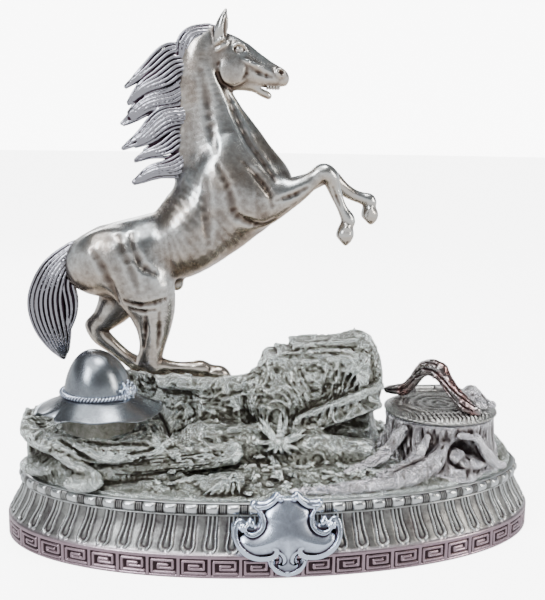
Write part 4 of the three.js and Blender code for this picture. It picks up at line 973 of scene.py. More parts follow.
def hollow_ground(clay):
    """Holes for the pots, room for hat, stump and lid, and the casting's hollow underside."""
    for x, y, radius in ((STUMP_X, STUMP_Y, STUMP_BORE), (HAT_X, HAT_Y, HAT_BORE)):
        clay.form((x - 20, y - 20, 30), (x + 20, y + 20, 80), shaft(x, y, radius), cut=True)
    clay.form((STUMP_X - 32, STUMP_Y - 32, 60), (STUMP_X + 32, STUMP_Y + 48, 106),
              shaft(STUMP_X, STUMP_Y, 32, 63.5), cut=True)
    clay.form((HAT_X - 40, HAT_Y - 34, 56), (HAT_X + 40, HAT_Y + 34, 106), under_hat, cut=True)
    flat_x = clay.low[0] + clay.cell * np.arange(clay.field.shape[0])
    flat_y = clay.low[1] + clay.cell * np.arange(clay.field.shape[1])
    grid_x, grid_y = np.meshgrid(flat_x, flat_y, indexing="ij")
    height = ground_height(grid_x, grid_y)
    low = lowest_nearby(height, round(5 / clay.cell)) - GROUND_WALL
    levels = (clay.low[2] + clay.cell * np.arange(clay.field.shape[2]))[None, None, :]
    rim = (oval_share(grid_x, grid_y, SEAT_INSET) - 0.84) * 55
    hollow = np.maximum(levels - low[:, :, None], rim[:, :, None])
    hollow = np.where(low[:, :, None] < GROUND_SEAT + 0.7, clay.FAR, hollow)
    clay.field = np.maximum(clay.field, -np.clip(hollow, -clay.FAR, clay.FAR).astype(np.float32))
    clay.field = np.maximum(clay.field, (GROUND_SEAT - levels).astype(np.float32))


def lowest_nearby(height, cells):
    """Lowest height within a square of cells round each spot."""
    for axis in (0, 1):
        stack = [np.roll(height, shift, axis) for shift in range(-cells, cells + 1, 2)]
        height = np.minimum.reduce(stack)
    return height


# ---------- stump well ----------
def trunk_field(x, y, z):
    """Trunk with furrowed bark that flares into roots at the foot."""
    off_x, off_y = x - STUMP_X, y - STUMP_Y
    angle = np.arctan2(off_y, off_x)
    reach = np.interp(z, [36, 41, 47, 57, STUMP_TOP], [35.5, 33.2, 31.2, 29.8, 29.9])
    low = ramp((52 - z) / 14)
    furrow = np.abs(np.sin(13 * angle + 0.9 * np.sin(z / 6 + 2 * angle)))
    furrow = furrow + 0.5 * np.abs(np.sin(31 * angle + 1.3 * np.sin(z / 4)))
    flare = low * (2.2 * np.sin(3 * angle + 0.6) + 1.4 * np.sin(8 * angle))
    return np.hypot(off_x, off_y) - (reach + flare - 0.9 + 0.75 * np.minimum(furrow, 1.2))


def make_stump():
    """The trunk with its roots, the bore for the ink pot and the recess for the pot's collar."""
    clay = Clay((0, -62, 35), (130, 26, STUMP_TOP + 1), STUMP_CELL)
    clay.form((STUMP_X - 41, STUMP_Y - 41, 36.8), (STUMP_X + 41, STUMP_Y + 38, STUMP_TOP + 1), trunk_field)
    clay.tube([[86, -38, 52, 4.2], [78, -43.5, 45, 5], [68, -48.5, 42, 5], [56, -53, 40.6, 4.2],
               [34, -57.5, 39.6, 3.2], [20, -58.6, 39.2, 2.6], [4, -59.2, 38.6, 1.6]], 2)
    clay.tube([[66, -30, 60, 2.4], [62, -28, 52, 3.2], [55, -31, 46, 3.6], [44, -36, 42.6, 2.6],
               [34, -40, 41, 1.2]], 2)
    clay.tube([[77, -38, 58, 1.8], [72, -41, 50, 2.6], [63, -44, 44.5, 2.8], [50, -47, 41.6, 1.6]], 1.2)
    clay.tube([[103, -39, 58, 2.4], [108, -41, 50, 2.8], [115, -38, 43, 2.6], [121, -33, 40, 1.6]], 1.6)
    clay.tube([[94, -41, 60, 1.8], [103, -40, 57, 2], [108, -38.5, 49, 1.6]], 1)
    clay.blob((96, -42, 50), (9, 7, 8), 1.4, cut=True, tilt=-18)
    clay.blob((93, -38, 47.5), (5, 4, 4.4), 1)
    clay.blob((101, -39, 44), (8, 5, 4), 1.5)
    for k in range(12):
        start = 70 + 3.4 * k
        clay.tube([[start, -10 - math.sqrt(max(0, 900 - (start - STUMP_X) ** 2)) - 0.4, 62, 0.4],
                   [start - 2.4, -42.5 + abs(k - 6) * 1.0, 54, 0.7],
                   [start - 8, -46 + abs(k - 6) * 0.9, 47, 0.5]], 0.3, cut=True)
    clay.ripple(0.5, 3.4, 17, 3, stretch=(1, 1, 2.4))
    clay.cut_below((0, 0, STUMP_TOP), (0, 0, -1))
    bore, recess = shaft(STUMP_X, STUMP_Y, STUMP_BORE), shaft(STUMP_X, STUMP_Y, 21.3, 61.2)
    clay.form((STUMP_X - 24, STUMP_Y - 24, 30), (STUMP_X + 24, STUMP_Y + 24, 70), bore, cut=True)
    clay.form((STUMP_X - 24, STUMP_Y - 24, 58), (STUMP_X + 24, STUMP_Y + 24, 70), recess, cut=True)
    clay.form((STUMP_X - 18, STUMP_Y + 20, 48), (STUMP_X + 18, STUMP_Y + 40, 70), hinge_room, cut=True)
    clay.form_everywhere(under_turf, cut=True)
    stump = clay.to_object("stump_casting", BARK_METAL, 1.1)
    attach(stump, "stand")
    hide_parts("stump")


def hinge_room(x, y, z):
    """Space behind the trunk for the brackets and the knuckle."""
    return np.maximum(np.maximum(np.abs(x - STUMP_X) - 15.2, 19.6 - y), 51.5 - z)


def under_turf(x, y, z):
    """Everything more than a little below the ground's surface."""
    flat_x, flat_y = np.broadcast_arrays(x[:, :, 0], y[:, :, 0])
    return z - (ground_height(flat_x, flat_y) - 0.6)[:, :, None]


# ---------- stump lid ----------
LID_METAL = patina("lid_patina", (0.36, 0.36, 0.345), (0.16, 0.152, 0.142), (0.04, 0.034, 0.034),
                   rough=(0.2, 0.48), grain_mm=1.2, bump=0.4, patch_mm=13, lean=0.04, strokes=0.35)
HANDLE_SCREWS = ((74.0, 7.5), (101.5, -27.0))


def lid_field(x, y, z):
    """The lid: growth rings, bark furrows towards the front and a rounded, grooved edge."""
    off_x, off_y = x - STUMP_X, y - STUMP_Y
    radius, angle = np.hypot(off_x, off_y), np.arctan2(off_y, off_x)
    rings = 0.22 * np.sin(radius * 1.25 + 0.8 * np.sin(3 * angle)) * ramp((28 - radius) / 6)
    front = ramp((-off_y - 12) / 7) * ramp((30.5 - radius) / 3)
    furrows = 0.5 * front * np.sin(off_x * 2.6 + 0.8 * np.sin(off_y))
    swell = 1.1 * front * ramp((off_x + 16) / 10) + 0.8 * ramp((19 - np.hypot(off_x + 3, off_y - 3)) / 3)
    top = LID_TOP - 1.3 + rings + furrows + swell * 0.9 - 1.3 * ramp((radius - 26) / 5)
    bark = 0.3 * np.sin(57 * angle + 1.4 * np.sin(5 * angle)) * ramp((30 - np.abs(off_x)) / 2)
    rounding = 0.9 * ramp((z - LID_TOP + 3) / 2.4)
    undercut = 1.1 * ramp((LID_BOTTOM + 1.1 - z) / 1.1)
    edge = radius - (30.8 - rounding - undercut + bark)
    return np.maximum(np.maximum(z - top, LID_BOTTOM - z), edge) * 0.9


def make_lid():
    """The stump's lid with its hinge knuckle, and the sinkings for the handle's screws."""
    clay = Clay((58, -43, 62), (125, 28, 73), LID_CELL)
    clay.form((60, -42, 63), (123, 22, 72), lid_field)
    clay.ripple(0.16, 2.6, 31, 2, lambda spots: ramp((spots[:, 2] - 66) / 1.5))
    clay.block((STUMP_X, 21.5, 66.5), (6, 3.4, 1.5), 0.3, 0.4)
    clay.form((80, 18, 62), (103, 28, 71), hinge_bar(3, 6))
    clay.form((80, 18, 62), (103, 28, 71), hinge_bar(1.4, 20), cut=True)
    for x, y in HANDLE_SCREWS:
        clay.form((x - 4, y - 4, 62), (x + 4, y + 4, 68), shaft(x, y, 2.55, ceiling=66.1), cut=True)
    lid = clay.to_object("lid_casting", LID_METAL)
    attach(lid, "stump_lid")
    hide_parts("stump_lid")


# The handle, as (x, y, height above the lid, radius).
BRANCH = [(66.2, 12.5, 2.2, 1.6), (68, 11, 2.0, 2.5), (72, 8.8, 2.4, 3.3), (75.5, 6.2, 4.2, 3.2),
          (79, 3, 9, 3.0), (82, 0, 15, 3.3), (85.5, -3.2, 18.6, 4.2), (90.4, -8, 18.4, 4.4),
          (93.6, -13, 13.5, 3.4), (97.5, -20, 7.2, 3.6), (101.5, -27, 3.0, 4.0), (104.4, -31.5, 1.6, 3.0)]


def copper_patches(mix):
    """Patches of the branch where copper shows."""
    return mix.band(mix.noise(13, 2, 0.5), 0.46, 0.6)


BRANCH_METAL = patina("branch_patina", (0.27, 0.25, 0.25), (0.11, 0.088, 0.084), (0.035, 0.024, 0.024),
                      (0.8, 0.52, 0.5), copper_patches, rough=(0.2, 0.46), patch_mm=9, lean=0.04)


def make_branch():
    """The arched branch that the lid is lifted by, with grain that winds round it."""
    clay = Clay((60, -39, LID_TOP - 1.5), (112, 18, 96), BRANCH_CELL)
    clay.tube([[x, y, LID_TOP + z - 0.6, 1.12 * radius] for x, y, z, radius in BRANCH])
    clay.blob((91.5, -9.5, LID_TOP + 19.4), (3.4, 3.4, 3), 1.2)
    clay.blob((84, -1, LID_TOP + 17.6), (2.6, 2.6, 2.4), 1.0)
    clay.tube([[88, -10, LID_TOP + 15, 1.2], [86.4, -12.4, LID_TOP + 14.8, 0.9]], 1)
    for k in range(7):
        run = []
        for x, y, z, radius in BRANCH[1:]:
            angle = 2 * math.pi * k / 7 + z / 14
            out, up = 1.04 * radius * math.cos(angle), 1.04 * radius * math.sin(angle)
            run.append([x + 0.8 * out, y + 0.6 * out, LID_TOP + z - 0.6 + up, 0.55])
        clay.tube(run, 0.3, cut=True)
    clay.ripple(0.3, 2.4, 41, 3)
    clay.cut_below((0, 0, LID_TOP - 0.2), (0, 0, 1))
    branch = clay.to_object("branch_casting", BRANCH_METAL)
    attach(branch, "stump_lid")
    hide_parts("branch_handle")


def beyond_lid(x, y, z):
    """Everything outside the lid's edge."""
    return 30.4 - np.hypot(x - STUMP_X, y - STUMP_Y)


def make_bark_lump():
    """The ridge of knobbly bark along the lid's right side."""
    clay = Clay((100, -27, LID_TOP - 1.5), (122, 13, 80), BRANCH_CELL)
    clay.tube([[113, 8, LID_TOP, 3.5], [112.5, 1, LID_TOP + 0.6, 5.4], [110.6, -7, LID_TOP + 1.0, 6.2],
               [110, -14, LID_TOP + 0.6, 5.6], [111, -20, LID_TOP - 0.4, 4]], 1)
    for k in range(9):
        clay.blob((105.5 + 1.5 * k, 7 - 3.4 * k, LID_TOP + 3.6 - abs(k - 4) * 0.5), (2.2, 2.6, 1.9), 0.5)
    clay.ripple(0.6, 3, 47, 3)
    clay.form_everywhere(beyond_lid, cut=True)
    clay.cut_below((0, 0, LID_TOP - 0.2), (0, 0, 1))
    lump = clay.to_object("bark_lump_casting", BARK_METAL)
    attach(lump, "stump_lid")
    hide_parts("lid_bark_lump")


# ---------- hat ----------
HAT_METAL = patina("hat_patina", (0.22, 0.245, 0.27), (0.155, 0.165, 0.185), (0.045, 0.042, 0.05),
                   rough=(0.2, 0.34), grain_mm=1.6, bump=0.12, patch_mm=12, lean=-0.06)
ORNAMENT_METAL = patina("ornament_patina", (0.56, 0.63, 0.76), (0.32, 0.35, 0.42), (0.045, 0.035, 0.048),
                        rough=(0.17, 0.42), grain_mm=1.2, bump=0.16, patch_mm=15, lean=-0.02)
CROWN_BASE, CROWN_TOP, CROWN_RADIUS = 79.0, 102.0, 17.8
BRIM_EDGE_Z = 69.4
HAT_WALL = 2.0
HAT_COLUMNS = 288
BAND_COLUMNS, BAND_SECTION, BAND_TWISTS = 560, 20, 34


def fold(angle, at_angle, wide):
    """A soft crease at one angle round the crown or brim."""
    away = (angle - at_angle + math.pi) % (2 * math.pi) - math.pi
    return np.exp(-(away / wide) ** 2)


def hat_point(angle, share, inward):
    """Soft felt shape: share 0 crown top, 1 crown base, 2 brim edge."""
    crown, beyond = np.minimum(share, 1), np.maximum(share - 1, 0)
    rise = CROWN_TOP - CROWN_BASE
    reach = CROWN_RADIUS * (0.12 * crown + 0.88 * np.sin(math.pi / 2 * crown) ** 0.94) - inward * crown
    dents = 0.7 * fold(angle, -0.35, 0.22) + 0.5 * fold(angle, 0.6, 0.3) + 0.35 * fold(angle, 2.6, 0.4)
    reach = reach - dents * np.sin(math.pi * crown) ** 2
    lean = -3 * (1 - crown) ** 2
    notch = fold(angle, 3.93, 0.1)
    curl = fold(angle, 3.62, 0.2)
    wave = (0.55 * np.sin(5 * angle + 1) + 0.35 * np.sin(9 * angle)) * beyond ** 2
    wide = beyond * (HAT_BRIM[0] - CROWN_RADIUS) - 3.2 * notch * beyond ** 2
    deep = beyond * (HAT_BRIM[1] - CROWN_RADIUS) - 3.2 * notch * beyond ** 2
    height = CROWN_BASE + rise * np.cos(math.pi / 2 * crown) ** 1.02
    height = height - (CROWN_BASE - BRIM_EDGE_Z) * beyond ** 0.85
    height = height + 1.1 * beyond ** 2 * np.sin(3 * angle + 1) + wave
    height = height + (2.6 * curl - 1.4 * fold(angle, 4.1, 0.14)) * beyond ** 3
    height = height + 0.7 * ramp((share - 1.9) / 0.1)
    thick = np.where(share <= 1, 1 - 0.35 * crown, 1 - 0.55 * beyond)
    return (HAT_X + lean + (reach + wide) * np.cos(angle), HAT_Y + (reach + deep) * np.sin(angle),
            height - inward * thick)


def make_hat():
    """A closed felt shell: outside, rolled edge and inside, with a pole at the top of each."""
    around = HAT_COLUMNS
    angles = 2 * math.pi * np.arange(around) / around
    shares = np.concatenate([np.linspace(0.02, 1, 46), np.linspace(1.02, 2, 40)])
    under = shares[::-1] * np.where(shares[::-1] > 1, 0.985, 1)
    rows = [np.stack(hat_point(angles, np.full(around, s), 0.0), -1) for s in shares]
    rows += [np.stack(hat_point(angles, np.full(around, s), HAT_WALL), -1) for s in under]
    edge = rows[len(shares) - 1] * 0.5 + rows[len(shares)] * 0.5
    edge[:, 0] += 0.5 * np.cos(angles)
    edge[:, 1] += 0.5 * np.sin(angles)
    rows.insert(len(shares), edge)
    points = np.concatenate(rows)
    top = np.array([HAT_X - 2.9, HAT_Y, CROWN_TOP])
    points = np.vstack([points, top, top - [0, 0, HAT_WALL]])
    faces = grid_faces(len(rows), around)
    pole, last = len(rows) * around, (len(rows) - 1) * around
    for k in range(around):
        faces.append((pole, (k + 1) % around, k))
        faces.append((pole + 1, last + k, last + (k + 1) % around))
    hollow = np.zeros(len(points))
    for row, share in enumerate(shares):
        crease = 0.3 * math.exp(-((share - 1.04) / 0.06) ** 2)
        crease -= 0.32 * math.exp(-((share - 1.97) / 0.03) ** 2)
        hollow[row * around:(row + 1) * around] = crease
    hat = mesh_object("hat_casting", points, faces, HAT_METAL, hollow)
    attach(hat, "hat_cover")
    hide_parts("hat")


def grid_faces(rows, columns, close_rows=False):
    """Quads over rows of points that each close on themselves."""
    faces = []
    for i in range(rows if close_rows else rows - 1):
        here, there = i * columns, (i + 1) % rows * columns
        for k in range(columns):
            beside = (k + 1) % columns
            faces.append((here + k, here + beside, there + beside, there + k))
    return faces


def make_band():
    """A two-ply twisted cord round the foot of the crown."""
    phi = 2 * math.pi * np.arange(BAND_SECTION) / BAND_SECTION
    rows, hollows = [], []
    for i in range(BAND_COLUMNS):
        angle = 2 * math.pi * i / BAND_COLUMNS
        ply = np.cos(2 * (phi - BAND_TWISTS * angle))
        radius = 1.12 * (1 + 0.24 * ply)
        out = CROWN_RADIUS + 1.05 + radius * np.cos(phi)
        rows.append(np.stack([HAT_X + out * math.cos(angle), HAT_Y + out * math.sin(angle),
                              CROWN_BASE + 1.0 + radius * np.sin(phi)], -1))
        hollows.append(-0.5 * ply)
    faces = grid_faces(BAND_COLUMNS, BAND_SECTION, True)
    band = mesh_object("cord_band", np.concatenate(rows), faces, ORNAMENT_METAL, np.concatenate(hollows))
    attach(band, "hat_cover")
    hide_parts("hat_band")


def make_rosette():
    """A filigree knot of looped wire and pearls where the cord is tied."""
    angle = -0.55
    out = np.array([math.cos(angle), math.sin(angle), 0.0])
    side = np.array([-math.sin(angle), math.cos(angle), 0.0])
    up = np.array([0, 0, 1.0])
    heart = np.array([HAT_X, HAT_Y, CROWN_BASE + 2.2]) + out * (CROWN_RADIUS + 1.6)
    clay = Clay(heart - 9, heart + 9, KNOT_CELL)
    clay.blob(tuple(heart), (2, 2, 2), 0.3)
    clay.blob(tuple(heart - out * 1.2), (2.6, 2.6, 4.6), 0.4)
    for k in range(9):
        turn = 2 * math.pi * k / 9
        way = side * math.cos(turn) + up * math.sin(turn)
        cross = up * math.cos(turn) - side * math.sin(turn)
        loop = []
        for t in np.linspace(0, 1, 9):
            along = 1.2 + 4.4 * math.sin(math.pi * t)
            spread = 1.5 * math.sin(2 * math.pi * t)
            spot = heart + way * along + cross * spread + out * (0.9 * math.sin(math.pi * t) - 0.26 * along)
            loop.append([*spot, 0.42])
        clay.tube(loop, 0.1, steps=2)
        clay.blob(tuple(heart + way * 6.2 - out * 1.4), (0.8, 0.8, 0.8), 0.1)
        clay.blob(tuple(heart + way * 2.6 + out * 0.5), (0.75, 0.75, 0.75), 0.1)
    rosette = clay.to_object("knot_rosette", ORNAMENT_METAL)
    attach(rosette, "hat_cover")
    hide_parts("hat_rosette")


# ---------- plinth ----------
BAND_HEIGHT = 12.0
KEY_UNITS = 46
KEY_WIDE = 15.0          # width of one key unit, in its own measure
BEADS = 64
BEAD_PITCH = 10.4        # from bead to bead, in mm
PLINTH_COLUMNS = 2100
OVAL_STEPS = 20001       # steps in which the oval's length is measured


def painted_foot_reflection(mix):
    """Painted mauve reflection of the table on the foot band, fading out up the cove."""
    return mix.band(mix.height(), 0.0135, 0.0115)


# the mauve tint on the foot band is a painted reflection of the table
PLINTH_METAL = patina("plinth_patina", (0.54, 0.56, 0.57), (0.27, 0.275, 0.265), (0.06, 0.052, 0.054),
                      (0.6, 0.43, 0.49), painted_foot_reflection, rough=(0.2, 0.46), grain_mm=1.1, bump=0.3, patch_mm=13,
                      lean=-0.02)


def line_distance(u, v, path):
    """Distance from points (u, v) to a polyline."""
    best = np.full(np.broadcast_shapes(u.shape, v.shape), 1e3)
    for (ax, ay), (bx, by) in zip(path[:-1], path[1:]):
        way_x, way_y = bx - ax, by - ay
        t = np.clip(((u - ax) * way_x + (v - ay) * way_y) / (way_x ** 2 + way_y ** 2), 0, 1)
        best = np.minimum(best, np.hypot(u - ax - t * way_x, v - ay - t * way_y))
    return best


def key_relief(along, height):
    """Greek key: a square spiral in each unit between upright posts; 0 is the face, below 0 is sunk."""
    unit = (along * KEY_UNITS) % 1.0 * KEY_WIDE
    low, high = 2.3, 9.2
    spiral = [(2.1, low), (2.1, high - 0.7), (12.4, high - 0.7), (12.4, low + 2.3), (5.2, low + 2.3),
              (5.2, high - 2.9), (9.8, high - 2.9)]
    foot = [(2.1, low + 0.1), (13.3, low + 0.1)]
    raised = np.minimum(line_distance(unit, height, spiral), line_distance(unit, height, foot)) - 0.62
    post = np.minimum(unit, KEY_WIDE - unit) - 0.8
    raised = np.minimum(raised, post)
    raised = np.minimum(raised, 9.9 - height)
    raised = np.minimum(raised, height - 1.5)
    return -0.95 * ramp((raised + 0.25) / 0.5)


def cove_relief(along, height):
    """Raised double-edged ribs, rounded at their lower ends, set under each bead."""
    across = ((along * BEADS) % 1.0 - 0.5) * BEAD_PITCH
    low, high = BAND_HEIGHT + 3.4, PLINTH_TOP - 6.2
    below = np.maximum(low - height, 0)
    reach = np.hypot(across, below * 1.1)
    width = 2.1 + 0.5 * ramp((low + 6 - height) / 6)
    edge = np.exp(-((reach - width) / 0.42) ** 2)
    core = 0.45 * np.exp(-(across / 0.7) ** 2) * ramp((height - low) / 2)
    channel = -0.5 * np.exp(-((reach - width + 1.0) / 0.5) ** 2)
    outside = -0.3 * np.exp(-((reach - width - 0.8) / 0.45) ** 2)
    shown = ramp((height - low + 3.2) / 1.2) * ramp((high - height) / 0.8)
    return (1.0 * edge + core + channel + outside - 0.35) * shown


def bead_relief(along, share):
    """Long beads with a pair of thin reels between them; share runs 0 to 1 up the moulding."""
    across = ((along * BEADS) % 1.0 - 0.5) * BEAD_PITCH
    rounded = np.maximum(1 - (share * 2 - 1) ** 2, 0) ** 0.5
    bead = np.maximum(1 - (np.abs(across) / 3.5) ** 3, 0) ** 0.5
    reel = np.exp(-((np.abs(across) - 4.25) / 0.33) ** 2) + np.exp(-((np.abs(across) - 5.2) / 0.3) ** 2)
    return -1.9 + rounded * (2.0 * bead + 1.15 * np.minimum(reel, 1))


def outside_rows():
    """Rows up the plinth's outside: inset, height, kind of relief and place within it."""
    rows = [(0.5, 0.0, "plain", 0), (0.1, 0.35, "plain", 0), (0.0, 0.7, "plain", 0)]
    rows += [(0.0, z, "key", 0) for z in np.linspace(1.0, 10.6, 31)]
    rows += [(0.0, 11.2, "plain", 0), (0.1, 11.8, "plain", 0), (0.6, 12.15, "plain", 0),
             (1.2, 12.6, "plain", 0)]
    cove = smooth_path([(1.4, BAND_HEIGHT + 1.4), (3.6, BAND_HEIGHT + 5.5), (7, PLINTH_TOP - 12.2),
                        (8.8, PLINTH_TOP - 6.9)], 9)
    rows += [(inset, z, "cove", 0) for inset, z in cove]
    rows += [(7.9, PLINTH_TOP - 6.6, "plain", 0), (7.7, PLINTH_TOP - 6.3, "plain", 0)]
    for share in np.linspace(0, 1, 17):
        angle = math.pi * (share - 0.5)
        rows.append((8.4 - 1.7 * math.cos(angle), PLINTH_TOP - 3.3 + 2.7 * math.sin(angle), "bead", share))
    rows += [(7.9, PLINTH_TOP - 0.4, "plain", 0), (8.1, PLINTH_TOP - 0.1, "plain", 0),
             (8.5, PLINTH_TOP, "plain", 0)]
    return rows


def inside_rows():
    """Rows down the plinth's inside, as inset and height: rim, rebate for the ground, hollow foot."""
    return [(10.5, PLINTH_TOP), (10.5, PLINTH_TOP - 2.7), (17.5, PLINTH_TOP - 2.7),
            (17.5, PLINTH_TOP - 5.2), (11.8, PLINTH_TOP - 5.2), (10, 22.5), (6.6, 15.8), (3, 11), (3, 0)]


def squared(value):
    """A sine or cosine bent to the oval's fuller shape."""
    return np.sign(value) * np.abs(value) ** (2 / OVAL_POWER)


def make_plinth():
    """Columns evenly spaced round the oval, each row pushed out by its moulding's relief."""
    columns = PLINTH_COLUMNS
    angles = np.linspace(0, 2 * math.pi, OVAL_STEPS)
    ring_x, ring_y = (FOOT_WIDE - 5) * squared(np.cos(angles)), (FOOT_DEEP - 5) * squared(np.sin(angles))
    length = np.concatenate([[0], np.cumsum(np.hypot(np.diff(ring_x), np.diff(ring_y)))])
    along = np.arange(columns) / columns
    angle = np.interp(along * length[-1], length, angles)
    cos, sin = squared(np.cos(angle)), squared(np.sin(angle))
    out = np.stack([np.cos(angle) * np.abs(np.cos(angle)) ** 0.05 * FOOT_DEEP, np.sin(angle) * FOOT_WIDE],
                   -1)
    out /= np.linalg.norm(out, axis=1)[:, None]
    rows, hollows = [], []
    for inset, z, kind, share in outside_rows():
        if kind == "key":
            relief = key_relief(along, np.full(columns, z))
        elif kind == "cove":
            relief = cove_relief(along, np.full(columns, z))
        elif kind == "bead":
            relief = bead_relief(along, share) + 0.5
        else:
            relief = np.zeros(columns)
        x = (FOOT_WIDE - inset) * cos + relief * out[:, 0]
        y = (FOOT_DEEP - inset) * sin + relief * out[:, 1]
        rows.append(np.stack([x, y, np.full(columns, z)], -1))
        depth = {"key": -relief * 0.75 - 0.25, "cove": 0.04 - relief * 0.5, "bead": -relief * 0.45 - 0.12}
        hollows.append(depth.get(kind, np.full(columns, -0.1)))
    for inset, z in inside_rows():
        x, y = (FOOT_WIDE - inset) * cos, (FOOT_DEEP - inset) * sin
        rows.append(np.stack([x, y, np.full(columns, z)], -1))
        hollows.append(np.full(columns, 0.1))
    plinth = mesh_object("plinth_casting", np.concatenate(rows), grid_faces(len(rows), columns, True),
                         PLINTH_METAL, np.concatenate(hollows))
    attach(plinth, "stand")
    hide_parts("plinth")


# ---------- cartouche ----------
def mirrored(points):
    """A line and its mirror image."""
    return [points, [(-x, z) for x, z in points]]


# Half outlines, in mm from the cartouche's middle line and up from the floor.
SHIELD = [(0, 38.4), (3.6, 38.2), (6.5, 36.2), (9.6, 33.6), (11.4, 30.6), (11.2, 27), (13, 24), (17, 22.4),
          (21, 22.6), (24, 20.4), (23.6, 16.6), (20, 13.4), (15.4, 12), (9, 12.8), (5.4, 13), (4.2, 10),
          (5, 7), (3.2, 4.4), (0, 3.6)]
TOP_SCROLL = [(2.2, 38.6), (3.6, 38.0), (4.0, 39.2), (2.6, 40.0), (4.8, 39.6), (7.2, 37.0), (10.6, 35.0),
              (14.2, 34.8), (16.2, 35.4)]
SHOULDER = [(16.2, 35.4), (13.2, 32.8), (11.9, 29.6), (12.2, 26.2), (14.4, 23.8), (17.6, 22.8),
            (20.4, 23.8), (21.6, 25.8)]
FLANK = [(20.6, 27.4), (22.2, 29), (24.6, 28.4), (25.6, 25.4), (25.4, 21), (23.4, 17), (19.8, 13.6),
         (15, 11.6), (9.4, 11.6), (6.4, 13), (5.6, 15.4), (7.0, 16.4)]
TAIL_SCROLL = [(5.4, 15), (2.6, 12.6), (1.9, 10), (3, 8.2), (4.8, 8.6)]
FOOT_SCROLL = [(8.2, 9.4), (7.4, 7), (5.2, 4.6), (2.4, 3.2), (0, 2.7)]


def shield_face(x, z):
    """The cartouche's own ground: it follows the plinth's front and leans back at the top."""
    lean = 7.6 * ramp((z - 12) / 26)
    return -(oval_depth(x, 0) + 0.3 - lean)


# Each scroll's line, radius and how far it stands proud.
SHIELD_SCROLLS = ((TOP_SCROLL, 1.0, 2.2), (SHOULDER, 1.15, 2.3), (FLANK, 1.25, 2.3),
                  (TAIL_SCROLL, 0.8, 2.5), (FOOT_SCROLL, 1.1, 1.6))


def make_cartouche():
    """A blank shield framed by scrolls, with a rosette at each shoulder."""
    clay = Clay((-28, -5.2, 1), (28, 4, 41.5), SHIELD_CELL)
    right = smooth_path(SHIELD, 4)
    outline = np.vstack([right, right[::-1] * [-1, 1]])

    def plate(x, y, z):
        flat = polygon_distance(x[:, 0, 0], z[0, 0, :], outline)[:, None, :]
        swell = 2.9 * (1 - np.exp(-np.maximum(-flat, 0) / 3.6)) * ramp((z - 4) / 10)
        return np.maximum(np.maximum(flat, -y - 0.9 - swell), y - 3.4) * 0.8

    clay.form_everywhere(plate)
    backing = smooth_path(TOP_SCROLL[4:] + SHOULDER[1:5] + FLANK[3:9] + FOOT_SCROLL, 3)
    for line, radius, proud in SHIELD_SCROLLS:
        for side in mirrored(line):
            last = len(side) - 1
            stations = []
            for k, (x, z) in enumerate(side):
                stations.append([x, -proud, z, radius * min(1, 0.5 + min(k, last - k) * 0.3)])
            clay.tube(stations, 0.35)
            core = [[x, -proud - radius * 0.95, z, 0.34] for x, z in side[1:-1]]
            if len(core) > 2:
                clay.tube(core, 0.2, cut=True)
    for side in mirrored([(float(x), float(z)) for x, z in backing]):
        clay.tube([[x, 1.2, z, 2.0] for x, z in side[::3]], 0.5, steps=1)
    for side in (-1, 1):
        for k in range(7):
            turn = 2 * math.pi * k / 7
            petal = (side * 21.8 + 1.7 * math.cos(turn), -2.4, 26.6 + 1.7 * math.sin(turn))
            clay.blob(petal, (0.95, 0.9, 0.95), 0.2)
        clay.blob((side * 21.8, -2.9, 26.6), (1.3, 1.2, 1.3), 0.2)
        clay.blob((side * 17.8, -1.8, 28), (1.6, 1.4, 2.4), 0.8, tilt=side * 30)
        clay.blob((side * 3.2, -2.6, 38.9), (1.3, 1.1, 1.3), 0.3)
    clay.blob((0, -1.2, 2.9), (1.5, 1.2, 1.2), 0.5)
    shield = clay.to_object("cartouche_casting", ORNAMENT_METAL)
    count = len(shield.data.vertices)
    places = np.empty(count * 3)
    shield.data.vertices.foreach_get("co", places)
    places = places.reshape(-1, 3)
    places[:, 1] += shield_face(places[:, 0] / MM, places[:, 2] / MM) * MM
    places[:, 1] = np.maximum(places[:, 1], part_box("front_cartouche")[0][1])
    shield.data.vertices.foreach_set("co", places.ravel())
    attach(shield, "stand")
    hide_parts("front_cartouche")


def polygon_distance(xs, zs, outline):
    """Signed distance from every (x, z) of a grid to a closed outline, negative inside."""
    px, pz = xs[:, None], zs[None, :]
    best = np.full((len(xs), len(zs)), 1e3)
    inside = np.zeros((len(xs), len(zs)), bool)
    for (ax, az), (bx, bz) in zip(outline, np.roll(outline, -1, 0)):
        way_x, way_z = bx - ax, bz - az
        span = way_x ** 2 + way_z ** 2
        if span < 1e-9:
            continue
        t = np.clip(((px - ax) * way_x + (pz - az) * way_z) / span, 0, 1)
        best = np.minimum(best, np.hypot(px - ax - t * way_x, pz - az - t * way_z))
        if az != bz:
            crosses = ((az > pz) != (bz > pz)) & (px < ax + (pz - az) * way_x / way_z)
            inside ^= crosses
    return np.where(inside, -best, best)


# ---------- CAD pieces that keep their shape ----------
COLLAR_METAL = patina("collar_patina", (0.34, 0.34, 0.31), (0.14, 0.135, 0.11), (0.04, 0.033, 0.03),
                      rough=(0.34, 0.6), grain_mm=0.9, bump=0.7, patch_mm=9, strokes=0.5)
HINGE_METAL = patina("hinge_patina", (0.46, 0.46, 0.46), (0.25, 0.24, 0.24), (0.07, 0.06, 0.06),
                     rough=(0.26, 0.5), grain_mm=0.7, bump=0.5, patch_mm=6)


